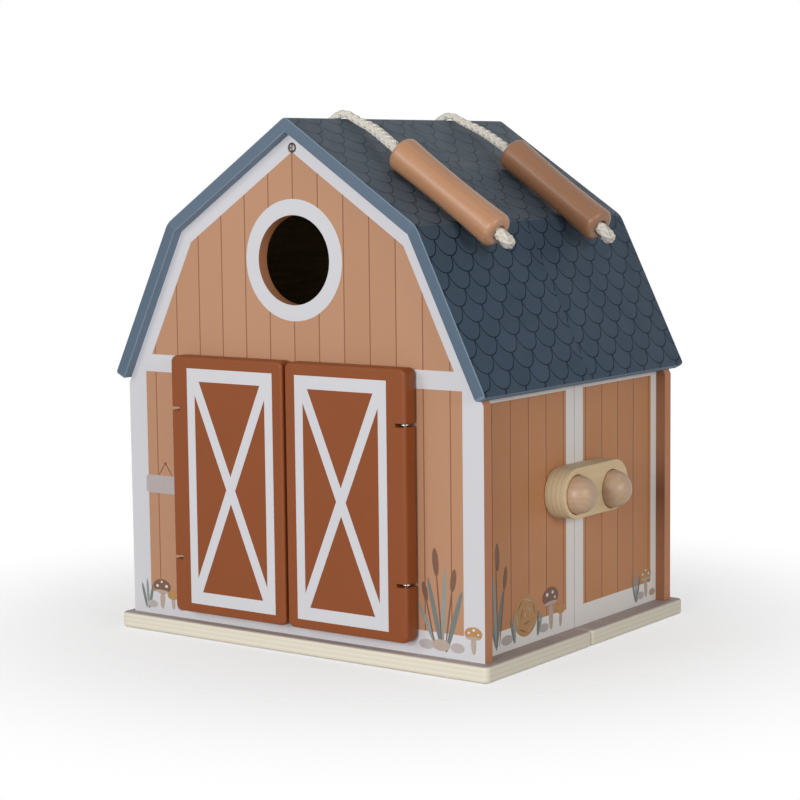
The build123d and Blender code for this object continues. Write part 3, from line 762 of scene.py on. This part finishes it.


# Sanded plywood without lacquer: grain on top in a pinkish grey that is painted shade
# and a painted reflection of the walls, level stripes of paler plies on the edge, and no
# gloss.
base_wood, tree, shader = new_finish("sanded_bare_plywood_base", Roughness=0.6, IOR=1.5)
mm, (_, _, z) = millimetres(tree)
face_z = facing(tree)["Z"]
# The top's pinkish grey is painted shade and a painted reflection of the walls.
grain = wood_grain(tree, mm, (0.015, 0.4, 0.4), "#B3A59F", "#A39590")
layer = add(tree, "Math", [z, BASE_PLY], operation="PINGPONG")
layer = add(tree, "Math", [layer, BASE_PLY], operation="DIVIDE")
plies = add(
    tree, "Mix", {0: layer, 6: linear("#EFE9D7"), 7: linear("#E6DDC8")}, data_type="RGBA"
)
upright = add(tree, "Math", [face_z], operation="ABSOLUTE")
is_flat = add(tree, "MapRange", {0: upright, 1: 0.5, 2: 0.9, 3: 0.12, 4: 1.0})
shade = add(tree, "Mix", {0: is_flat, 6: plies, 7: grain}, data_type="RGBA")
tree.links.new(shade, shader.inputs["Base Color"])
raised_fibres(tree, shader, mm, (0.05, 1.5, 1.5), 0.25)
for half in ("front", "rear"):
    board_from(f"base_{half}", base_wood)

# ---- Ridge battens ---------------------------------------------------------------
# A planed pine batten glued under the ridge of each half; the gable's screw bites
# into its end.
def planed_pine(name, cycles):
    """Bare pine, oil-free and pale, with long soft year lines along the piece."""
    pine, tree, shader = new_finish(name, Roughness=0.62, IOR=1.5)
    mm, _ = millimetres(tree)
    grain = wood_grain(tree, mm, cycles, "#E5D3AE", "#CFB588")
    tree.links.new(grain, shader.inputs["Base Color"])
    return pine


batten_wood = planed_pine("planed_pine_batten", (0.30, 0.012, 0.30))
for half in ("front", "rear"):
    board_from(f"ridge_batten_{half}", batten_wood, ease=0.0005)

# ---- Doors -----------------------------------------------------------------------
# Two 11.5 mm boards with rounded corners and edges, painted russet all over, with a
# white frame and cross printed on the front of each.
FRAME_ACROSS = 43.8             # the print's middle, from the seam between the doors
FRAME_UP = 100.75
FRAME_HALF_WIDTH = 34.9
FRAME_HALF_HEIGHT = 76.05
PANEL_UP = 100.65
PANEL_HALF_WIDTH = 28.6
PANEL_HALF_HEIGHT = 67.95
CROSS_HALF = 3.35
FRONT_FACING = -0.9

# Sprayed russet paint, barely clouded, with the white screened on it and a satin lacquer
# over both: even colour and a soft, wide shine.
door_paint, tree, shader = new_finish(
    "painted_printed_door_board", IOR=1.5, Specular_IOR_Level=0.3
)
mm, (x, _, z) = millimetres(tree)
face_y = facing(tree)["Y"]
half_x = add(tree, "Math", [x], operation="ABSOLUTE")
across = add(tree, "Math", [half_x, FRAME_ACROSS], operation="SUBTRACT")
across = add(tree, "Math", [across], operation="ABSOLUTE")
rise = add(tree, "Math", [z, PANEL_UP], operation="SUBTRACT")
rise = add(tree, "Math", [rise], operation="ABSOLUTE")
in_width = add(tree, "Math", [across, FRAME_HALF_WIDTH], operation="LESS_THAN")
in_height = add(
    tree, "Math", [z, FRAME_UP, FRAME_HALF_HEIGHT], operation="COMPARE"
)
in_frame = add(tree, "Math", [in_width, in_height], operation="MULTIPLY")
past_width = add(tree, "Math", [across, PANEL_HALF_WIDTH], operation="GREATER_THAN")
past_height = add(tree, "Math", [rise, PANEL_HALF_HEIGHT], operation="GREATER_THAN")
corner = math.hypot(PANEL_HALF_WIDTH, PANEL_HALF_HEIGHT)
spot = add(tree, "CombineXYZ", [across, 0.0, rise])
square = (PANEL_HALF_HEIGHT / corner, 0.0, -PANEL_HALF_WIDTH / corner)
off_cross = add(tree, "VectorMath", [spot, square], operation="DOT_PRODUCT")
on_cross = add(tree, "Math", [off_cross, 0.0, CROSS_HALF], operation="COMPARE")
white = add(tree, "Math", [past_width, past_height], operation="MAXIMUM")
white = add(tree, "Math", [white, on_cross], operation="MAXIMUM")
white = add(tree, "Math", [white, in_frame], operation="MULTIPLY")
in_front = add(tree, "Math", [face_y, FRONT_FACING], operation="LESS_THAN")
white = add(tree, "Math", [white, in_front], operation="MULTIPLY")
cloud = add(tree, "TexNoise", {"Vector": mm, "Scale": 0.03, "Detail": 2.0})
russet = add(
    tree, "Mix", {0: cloud, 6: linear("#87451B"), 7: linear("#8C4920")}, data_type="RGBA"
)
shade = add(
    tree, "Mix", {0: white, 6: russet, 7: linear(PRINTED_WHITE)}, data_type="RGBA"
)
satin_coat(tree, shader, mm, shade)
for side in ("left", "right"):
    board_from(f"door_{side}", door_paint)

# ---- Door hinges -----------------------------------------------------------------
# Each door turns on two steel pins driven in from its ends, through the rings of
# screw eyes that reach out of the gable into saw cuts in the door's edge.
def patchy_metal(name, scale, detail, tones, shine):
    """Metal in two close tones and shines, in patches; scale is patches to a mm."""
    finish, tree, shader = new_finish(name, Metallic=1.0)
    mm, _ = millimetres(tree)
    patch = add(tree, "TexNoise", {"Vector": mm, "Scale": scale, "Detail": detail})
    shade = add(
        tree, "Mix", {0: patch, 6: linear(tones[0]), 7: linear(tones[1])}, data_type="RGBA"
    )
    gloss = add(tree, "MapRange", {0: patch, 1: 0.3, 2: 0.7, 3: shine[0], 4: shine[1]})
    tree.links.new(shade, shader.inputs["Base Color"])
    tree.links.new(gloss, shader.inputs["Roughness"])
    return finish, tree, shader, mm, shade


# Zinc plating rubbed bright by the turning doors, with duller patches a millimetre wide.
steel, *_ = patchy_metal(
    "bright_zinc_plated_steel", 0.8, 3.0, ("#C9C6C2", "#E2DFDB"), (0.18, 0.34)
)
for node in ("door_eyes", "door_pins_left", "door_pins_right"):
    board_from(node, steel)

# ---- Latch -----------------------------------------------------------------------
# Two turned beech pegs, one on each half, with domed ends that show the end grain,
# and a loose plywood block with two holes that slips over both and holds them shut.
PEG_HEIGHT = 99.3
PEG_FROM_SEAM = 21.2
RING_SPACING = 1.7
HEART_BESIDE = 9.0              # the log's heart, from a peg's own middle
HEART_BELOW = 13.0
RING_WANDER = 5.0

# Turned and oiled beech: close year rings on the domes, short dark flecks along the
# sides and a low waxy shine.
peg_wood, tree, shader = new_finish(
    "turned_oiled_beech", Roughness=0.42, IOR=1.5, Coat_Weight=0.15, Coat_Roughness=0.3
)
mm, (x, y, z) = millimetres(tree)
half_y = add(tree, "Math", [y], operation="ABSOLUTE")
beside = add(tree, "Math", [half_y, PEG_FROM_SEAM + HEART_BESIDE], operation="SUBTRACT")
above = add(tree, "Math", [z, PEG_HEIGHT - HEART_BELOW], operation="SUBTRACT")
stretched = add(tree, "Math", [x, 0.06], operation="MULTIPLY")
log = add(tree, "CombineXYZ", [stretched, beside, above])
wander = add(tree, "TexNoise", {"Vector": log, "Scale": 0.16, "Detail": 2.0})
heart = add(tree, "CombineXYZ", [0.0, beside, above])
radius = add(tree, "VectorMath", [heart], operation="LENGTH")
radius = add(tree, "Math", [wander, RING_WANDER, radius], operation="MULTIPLY_ADD")
ring = add(tree, "Math", [radius, RING_SPACING], operation="PINGPONG")
ring = add(tree, "Math", [ring, RING_SPACING], operation="DIVIDE")
year = add(
    tree, "Mix", {0: ring, 6: linear("#C4A587"), 7: linear("#BE9E7F")}, data_type="RGBA"
)
flecks = add(tree, "VectorMath", [mm, (0.25, 2.2, 2.2)], operation="MULTIPLY")
flecks = add(tree, "TexNoise", {"Vector": flecks, "Scale": 1.0, "Detail": 3.0})
fleck = add(tree, "MapRange", {0: flecks, 1: 0.60, 2: 0.70, 3: 0.0, 4: 0.25})
shade = add(tree, "Mix", {0: fleck, 6: year, 7: linear("#9C7A59")}, data_type="RGBA")
relief = add(tree, "Bump", {"Strength": 0.1, "Distance": 0.0002, "Height": flecks})
tree.links.new(shade, shader.inputs["Base Color"])
tree.links.new(relief, shader.inputs["Normal"])
for half in ("front", "rear"):
    board_from(f"latch_peg_{half}", peg_wood)

BLOCK_PLY = 1.63

# Sanded birch plywood, untreated: pale grain on the two broad faces, fine plies round
# the edges, and no gloss.
block_wood, tree, shader = new_finish("sanded_birch_plywood_block", Roughness=0.55, IOR=1.5)
mm, (x, _, _) = millimetres(tree)
face_x = facing(tree)["X"]
grain = wood_grain(tree, mm, (0.4, 0.02, 0.4), "#EACFA6", "#DEC195")
layer = add(tree, "Math", [x, BLOCK_PLY], operation="PINGPONG")
layer = add(tree, "MapRange", {0: layer, 1: 0.5, 2: 1.1, 3: 0.0, 4: 1.0})
plies = add(
    tree, "Mix", {0: layer, 6: linear("#CEBD9B"), 7: linear("#C4B390")}, data_type="RGBA"
)
sideways = add(tree, "Math", [face_x], operation="ABSOLUTE")
is_flat = add(tree, "MapRange", {0: sideways, 1: 0.3, 2: 0.8, 3: 0.0, 4: 1.0})
shade = add(tree, "Mix", {0: is_flat, 6: plies, 7: grain}, data_type="RGBA")
tree.links.new(shade, shader.inputs["Base Color"])
raised_fibres(tree, shader, mm, (1.5, 0.05, 1.5), 0.2)
board_from("latch_block", block_wood)

# ---- Turned grips ----------------------------------------------------------------
# Beech handles, slightly waisted, bored through for the rope, stained the planks'
# colour and sprayed with satin lacquer; the rear one is toned a shade deeper, as
# painted shade.
GRIP_CYCLES = (0.02, 0.45, 0.45)

# Stained beech under a thin clear coat: the grain runs along the grip and shows through
# the tint, below a soft highlight.
grip_wood, tree, shader = new_finish(
    "stained_lacquered_beech", Roughness=0.5, IOR=1.5, Coat_Weight=0.35, Coat_Roughness=0.24
)
mm, (_, y, _) = millimetres(tree)
laid = add(tree, "Mapping", {"Vector": mm, "Rotation": (0.0, -UPPER_ANGLE, 0.0)})
pale = wood_grain(tree, laid, GRIP_CYCLES, "#C08E69", "#B6835E")
# The rear grip's deeper tones are painted shade, not a different stain.
rear_painted_shade = wood_grain(tree, laid, GRIP_CYCLES, "#9F704F", "#956646")
is_rear = add(tree, "Math", [y, 0.0], operation="GREATER_THAN")
grain = add(tree, "Mix", {0: is_rear, 6: pale, 7: rear_painted_shade}, data_type="RGBA")
peel = add(tree, "TexNoise", {"Vector": mm, "Scale": 0.7, "Detail": 2.0})
relief = add(tree, "Bump", {"Strength": 0.1, "Distance": 0.0002, "Height": peel})
tree.links.new(grain, shader.inputs["Base Color"])
tree.links.new(relief, shader.inputs["Normal"])
for half in ("front", "rear"):
    board_from(f"grip_{half}", grip_wood)

# ---- Barn hinges -----------------------------------------------------------------
# A bare pine post on each half carries two small brass butt hinges, screwed on, so
# the halves swing open about a line just outside the base's left edge.

# Drawn brass, a little tarnished: warm and shiny, with browner patches 2 mm across.
brass, *_ = patchy_metal("drawn_brass", 0.5, 4.0, ("#A88548", "#C2A264"), (0.22, 0.40))
post_wood = planed_pine("planed_pine_post", (0.30, 0.30, 0.012))
for half in ("front", "rear"):
    board_from(f"hinge_post_{half}", post_wood, ease=0.0004)
    board_from(f"hinge_leaves_{half}", brass)
board_from("hinge_pins", brass)

# ---- Screws ----------------------------------------------------------------------
# Countersunk screws with a cross recess: brass ones through the hinge leaves, a dark
# steel one through each gable into its batten, driven a little below the surface.
RECESS_REACH = 0.6              # of the head's radius
RECESS_DEPTH = 0.45             # of the head's radius
RECESS_FLOOR = 0.55             # of the recess's own width
RECESS_INNER = 0.366            # the cross's inner corners, as a share of its reach
POINT = 0.02                    # the tip's width, as a share of the shank's
GABLE_SCREW_HEIGHT = 0.3153
LEAF_FACE = -0.147              # X of the hinge leaves' outer faces
LEAF_SCREW_FROM_SEAM = 0.0075
LEAF_SCREW_HEIGHTS = (0.036, 0.054, 0.116, 0.134)
WEAR_AND_HIGHLIGHT_FROM = 1.3                 # mm from the screw's middle
WEAR_AND_HIGHLIGHT_TO = 2.3


def loop_drawn(bm, edges, drop, size):
    """Extrude a loop of edges down by drop and scale it; gives back the new loop."""
    made = bmesh.ops.extrude_edge_only(bm, edges=edges)["geom"]
    verts = [item for item in made if isinstance(item, bmesh.types.BMVert)]
    bmesh.ops.translate(bm, vec=(0, 0, -drop), verts=verts)
    bmesh.ops.scale(bm, vec=(size, size, 1), verts=verts)
    kept = set(verts)
    made = [item for item in made if isinstance(item, bmesh.types.BMEdge)]
    return [edge for edge in made if kept.issuperset(edge.verts)]


def cross_screw(head, shank, length, sunk):
    """A screw that points down Z from the origin, its head sunk below it."""
    bm = bmesh.new()
    bmesh.ops.create_circle(bm, segments=24, radius=head - sunk)
    rim = list(bm.edges)
    turned = Matrix.Rotation(math.radians(15), 4, "Z")
    bmesh.ops.create_circle(bm, segments=12, radius=RECESS_REACH * head, matrix=turned)
    cross = [edge for edge in bm.edges if edge not in rim]
    points = {vert for edge in cross for vert in edge.verts}
    corners = [vert for vert in points if abs(abs(vert.co.x) - abs(vert.co.y)) < 1e-6]
    bmesh.ops.scale(bm, vec=(RECESS_INNER, RECESS_INNER, 1), verts=corners)
    bmesh.ops.translate(bm, vec=(0, 0, -sunk), verts=bm.verts)
    bmesh.ops.bridge_loops(bm, edges=rim + cross)
    bottom = loop_drawn(bm, cross, RECESS_DEPTH * head, RECESS_FLOOR)
    bmesh.ops.edgeloop_fill(bm, edges=bottom)
    neck = loop_drawn(bm, rim, head - shank - sunk, shank / (head - sunk))
    tip = loop_drawn(bm, neck, length - head, 1.0)
    tip = loop_drawn(bm, tip, shank, POINT)
    bmesh.ops.edgeloop_fill(bm, edges=tip)
    bmesh.ops.recalc_face_normals(bm, faces=bm.faces)
    return bm


def screws_at(node, finish, screw, places):
    """Copies of a screw in the places of a node's plain ones."""
    single = bpy.data.meshes.new("screw")
    screw.to_mesh(single)
    bm = bmesh.new()
    for place in places:
        known = set(bm.verts)
        bm.from_mesh(single)
        added = [vert for vert in bm.verts if vert not in known]
        bmesh.ops.transform(bm, matrix=place, verts=added)
    mesh = bpy.data.meshes.new(node + "_piece")
    bm.to_mesh(mesh)
    bm.free()
    bpy.data.meshes.remove(single)
    mesh.materials.append(finish)
    stand_piece(mesh, frame["nodes"][node]["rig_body"], node)


# Blackened steel, oiled: dark, with a soft broken shine, and pale round the recess: partly
# worn bright where the driver has slipped, partly a painted highlight.
black_steel, tree, shader, mm, dark = patchy_metal(
    "oiled_black_steel", 0.9, 3.0, ("#2B2826", "#46413D"), (0.35, 0.5)
)
in_wall = add(tree, "VectorMath", [mm, (1.0, 0.0, 1.0)], operation="MULTIPLY")
axis = (0.0, 0.0, 1000 * GABLE_SCREW_HEIGHT)
from_axis = add(tree, "VectorMath", [in_wall, axis], operation="DISTANCE")
# A pale spot round the recess: partly wear, partly a painted highlight.
worn_and_painted_highlight = add(tree, "MapRange", {0: from_axis, 1: WEAR_AND_HIGHLIGHT_FROM, 2: WEAR_AND_HIGHLIGHT_TO, 3: 0.85, 4: 0.0})
shade = add(tree, "Mix", {0: worn_and_painted_highlight, 6: dark, 7: linear("#C9C3BC")}, data_type="RGBA")
tree.links.new(shade, shader.inputs["Base Color"])

gable_screw = cross_screw(head=0.0035, shank=0.0015, length=0.030, sunk=0.0004)
hinge_screw = cross_screw(head=0.0020, shank=0.0011, length=0.009, sunk=0.0001)
facing_left = Matrix.Rotation(-math.pi / 2, 4, "Y")
for half, way in (("front", -1), ("rear", 1)):
    facing_out = Matrix.Rotation(-way * math.pi / 2, 4, "X")
    face = way * GABLE_FACE / 1000
    place = Matrix.Translation((0, face, GABLE_SCREW_HEIGHT)) @ facing_out
    screws_at(f"gable_screw_{half}", black_steel, gable_screw, [place])
    beside = way * LEAF_SCREW_FROM_SEAM
    places = [
        Matrix.Translation((LEAF_FACE, beside, height)) @ facing_left
        for height in LEAF_SCREW_HEIGHTS
    ]
    screws_at(f"hinge_screws_{half}", brass, hinge_screw, places)
gable_screw.free()
hinge_screw.free()

# ---- Printed garden --------------------------------------------------------------
# Screen-printed on the lacquered walls in flat inks, a layer 0.08 mm thick: reeds,
# mushrooms, a round bale, pebbles and grass along the foot, and a blank hung sign.
INK = 0.00008
INK_STEP = 0.00001              # each shape lies this much over the one before
GABLE_WALL = ((1, 0, 0), (0, -1, 0), GABLE_FACE / 1000)
SIDE_WALL = ((0, 1, 0), (1, 0, 0), SIDE_FACE / 1000)
SIGN_PLACE = (-0.110, -GABLE_FACE / 1000, 0.0975)
SIGN_HALF_SIZE = (0.017, 0.0059, 1)
SIGN_CORNER = 0.0022

# Matt screen ink with the slight unevenness of a hand-pulled print, about 3 mm across.
inks = {}
for name, light, dark in (
    ("sage", "#7A827F", "#707875"),
    ("reed", "#979D99", "#8C928E"),
    ("sand", "#BDAC9E", "#B2A193"),
    ("bark", "#83604F", "#785646"),
    ("chalk", "#E4E2E0", "#DCDAD8"),
    ("straw", "#BF9060", "#B38555"),
    ("stone", "#BDB4B2", "#B4ABA9"),
):
    ink, tree, shader = new_finish(f"screen_ink_{name}", IOR=1.5, Specular_IOR_Level=0.25)
    mm, _ = millimetres(tree)
    pull = add(tree, "TexNoise", {"Vector": mm, "Scale": 0.35, "Detail": 3.0})
    shade = add(
        tree, "Mix", {0: pull, 6: linear(light), 7: linear(dark)}, data_type="RGBA"
    )
    satin_coat(tree, shader, mm, shade)
    inks[name] = ink

# Ink, then in mm the place along the wall, height, width and length; turn in degrees.
gable_right = [
    ("sage", 104, 37, 3.2, 44, 13),
    ("reed", 110.5, 40, 3, 50, -3),
    ("sage", 118, 33, 3.4, 40, -17),
    ("reed", 99, 29, 2.8, 30, 26),
    ("bark", 107, 43, 1, 56, 5),
    ("bark", 104.8, 68, 4.4, 17, 5),
    ("bark", 114.5, 37, 1, 46, -8),
    ("bark", 117.6, 58, 4, 14, -8),
    ("bark", 100.5, 33, 0.9, 36, 12),
    ("bark", 97, 49.5, 3.6, 12, 12),
    ("stone", 98, 17.5, 11, 6, 0),
    ("sand", 108.5, 18, 13, 7, 0),
    ("stone", 120.5, 17.5, 10, 6, 0),
    ("sand", 132, 21, 3.6, 12, 2),
    ("straw", 131.8, 27.6, 12.5, 8, 2),
    ("sand", 131.9, 24.8, 10.4, 2, 2),
    ("chalk", 128.6, 28, 1.6, 1.4, 0),
    ("chalk", 132.2, 29.8, 2, 1.7, 0),
    ("chalk", 135.4, 27.4, 1.3, 1.2, 0),
]
gable_left = [
    ("sage", -131, 22, 2.2, 17, 14),
    ("reed", -128, 23.5, 2.2, 20, 3),
    ("sage", -125, 22, 2.2, 17, -12),
    ("sand", -115, 21.5, 4.2, 14, -3),
    ("bark", -115.3, 29.4, 15, 9.6, -3),
    ("sand", -115.2, 26, 12.4, 2.2, -3),
    ("chalk", -119.4, 29.6, 2.2, 1.9, 0),
    ("chalk", -115.6, 32.4, 1.8, 1.5, 0),
    ("chalk", -111.4, 29.8, 2.4, 2, 0),
    ("sand", -105.6, 19.5, 3, 9, 3),
    ("straw", -105.8, 24.4, 9.6, 6.2, 3),
    ("stone", -124, 17, 9, 5, 0),
    ("stone", -98.5, 17, 8, 4.6, 0),
]
side_front = [
    ("sage", -96, 30, 2.8, 34, 18),
    ("reed", -92, 36, 3.2, 46, 4),
    ("sage", -87, 31, 3, 36, -12),
    ("bark", -90, 44, 1, 58, 2),
    ("bark", -89.2, 70, 4.4, 17, 2),
    ("bark", -84, 36, 1, 42, -9),
    ("bark", -80.8, 56, 4, 14, -9),
    ("straw", -58, 29, 27, 26, 0),
    ("bark", -48.6, 32.3, 0.9, 8.5, 20),
    ("sand", -55.4, 38.3, 0.9, 9.5, 75),
    ("bark", -65.1, 35.8, 0.9, 9, 135),
    ("sand", -67.8, 27.3, 0.9, 8, 10),
    ("bark", -61.4, 20, 0.9, 9, 70),
    ("sand", -52.3, 21.1, 0.9, 8.5, 125),
    ("sand", -54.4, 32.6, 0.8, 6, 50),
    ("bark", -62.6, 30.7, 0.8, 6.5, 160),
    ("bark", -57.1, 24.3, 0.8, 6.5, 100),
    ("sand", -58.4, 29.2, 0.8, 4.5, 25),
    ("sage", -73, 22, 2.2, 16, 15),
    ("reed", -70.5, 23, 2.2, 18, 1),
    ("sage", -44, 22, 2.2, 16, -4),
    ("reed", -41.5, 21, 2.2, 14, -20),
    ("sand", -29, 25, 4.6, 20, 2),
    ("bark", -29.4, 36, 18, 11.6, 2),
    ("sand", -29.3, 31.8, 15, 2.6, 2),
    ("chalk", -33.4, 37.6, 2.8, 2.4, 0),
    ("chalk", -27.2, 38.4, 2.4, 2.1, 0),
    ("chalk", -24.6, 35, 1.8, 1.6, 0),
    ("sand", -17.6, 20.5, 3, 11, -3),
    ("straw", -17.4, 26.4, 10.6, 6.8, -3),
    ("stone", -79, 17.5, 12, 6, 0),
    ("stone", -37, 17.5, 10, 5.4, 0),
    ("sand", -101, 17, 8, 5, 0),
]
side_rear = [
    ("sage", 75, 22, 2.2, 18, 16),
    ("reed", 78, 24, 2.2, 22, 3),
    ("sage", 81, 22, 2.2, 18, -13),
    ("sand", 91, 22, 4, 15, 2),
    ("straw", 90.8, 30.4, 14.4, 9.2, 2),
    ("sand", 90.9, 27.2, 12, 2.1, 2),
    ("chalk", 87, 30.6, 2, 1.7, 0),
    ("chalk", 90.8, 33, 1.8, 1.5, 0),
    ("chalk", 94.8, 30.4, 2.2, 1.9, 0),
    ("stone", 84, 17, 9, 5, 0),
    ("sand", 99.5, 17, 8, 4.6, 0),
]
sign_cords = [
    ("bark", -113, 107.6, 0.7, 9.6, -35),
    ("bark", -107, 107.6, 0.7, 9.6, 35),
    ("bark", -110, 111.4, 2.2, 2.2, 0),
]


def inked(name, half, wall, shapes):
    """Flat ovals of ink on a wall, given as the ways along and off it and its place."""
    across, out = Vector(wall[0]), Vector(wall[1])
    names = list(inks)
    axes = Matrix((across, (0, 0, 1), out)).transposed().to_4x4()
    bm = bmesh.new()
    for number, (ink, along, up, width, tall, turn) in enumerate(shapes):
        middle = out * wall[2] + across * along / 1000 + Vector((0, 0, up / 1000))
        size = Matrix.Diagonal((width / 2000, tall / 2000, 1, 1))
        turned = Matrix.Rotation(math.radians(turn), 4, "Z")
        place = Matrix.Translation(middle) @ axes @ turned @ size
        known = set(bm.faces)
        bmesh.ops.create_circle(bm, cap_ends=True, segments=32, radius=1, matrix=place)
        cap = [oval for oval in bm.faces if oval not in known]
        top = bmesh.ops.extrude_face_region(bm, geom=cap)["geom"]
        lifted = [item for item in top if isinstance(item, bmesh.types.BMVert)]
        bmesh.ops.translate(bm, vec=out * (INK + number * INK_STEP), verts=lifted)
        for oval in bm.faces:
            if oval not in known:
                oval.material_index = names.index(ink)
    bmesh.ops.recalc_face_normals(bm, faces=bm.faces)
    mesh = bpy.data.meshes.new(name)
    bm.to_mesh(mesh)
    bm.free()
    for ink in inks.values():
        mesh.materials.append(ink)
    stand_piece(mesh, f"{half}_half")


inked("printed_reeds_gable", "front", GABLE_WALL, gable_right)
inked("printed_mushrooms_gable", "front", GABLE_WALL, gable_left)
inked("printed_garden_side", "front", SIDE_WALL, side_front)
inked("printed_mushroom_side", "rear", SIDE_WALL, side_rear)
inked("printed_sign_cords", "front", GABLE_WALL, sign_cords)

bm = bmesh.new()
turned = Matrix.Rotation(math.pi / 2, 4, "X")
place = Matrix.Translation(SIGN_PLACE) @ turned
plate = bmesh.ops.create_grid(bm, x_segments=1, y_segments=1, size=1.0)["verts"]
bmesh.ops.scale(bm, vec=SIGN_HALF_SIZE, verts=plate)
bmesh.ops.bevel(
    bm,
    geom=plate,
    offset=SIGN_CORNER,
    segments=5,
    profile=0.5,
    affect="VERTICES",
    material=-1,
)
top = bmesh.ops.extrude_face_region(bm, geom=list(bm.faces))["geom"]
lifted = [item for item in top if isinstance(item, bmesh.types.BMVert)]
bmesh.ops.translate(bm, vec=(0, 0, INK), verts=lifted)
bmesh.ops.transform(bm, matrix=place, verts=bm.verts)
bmesh.ops.recalc_face_normals(bm, faces=bm.faces)
mesh = bpy.data.meshes.new("printed_sign")
bm.to_mesh(mesh)
bm.free()
mesh.materials.append(inks["stone"])
stand_piece(mesh, "front_half")
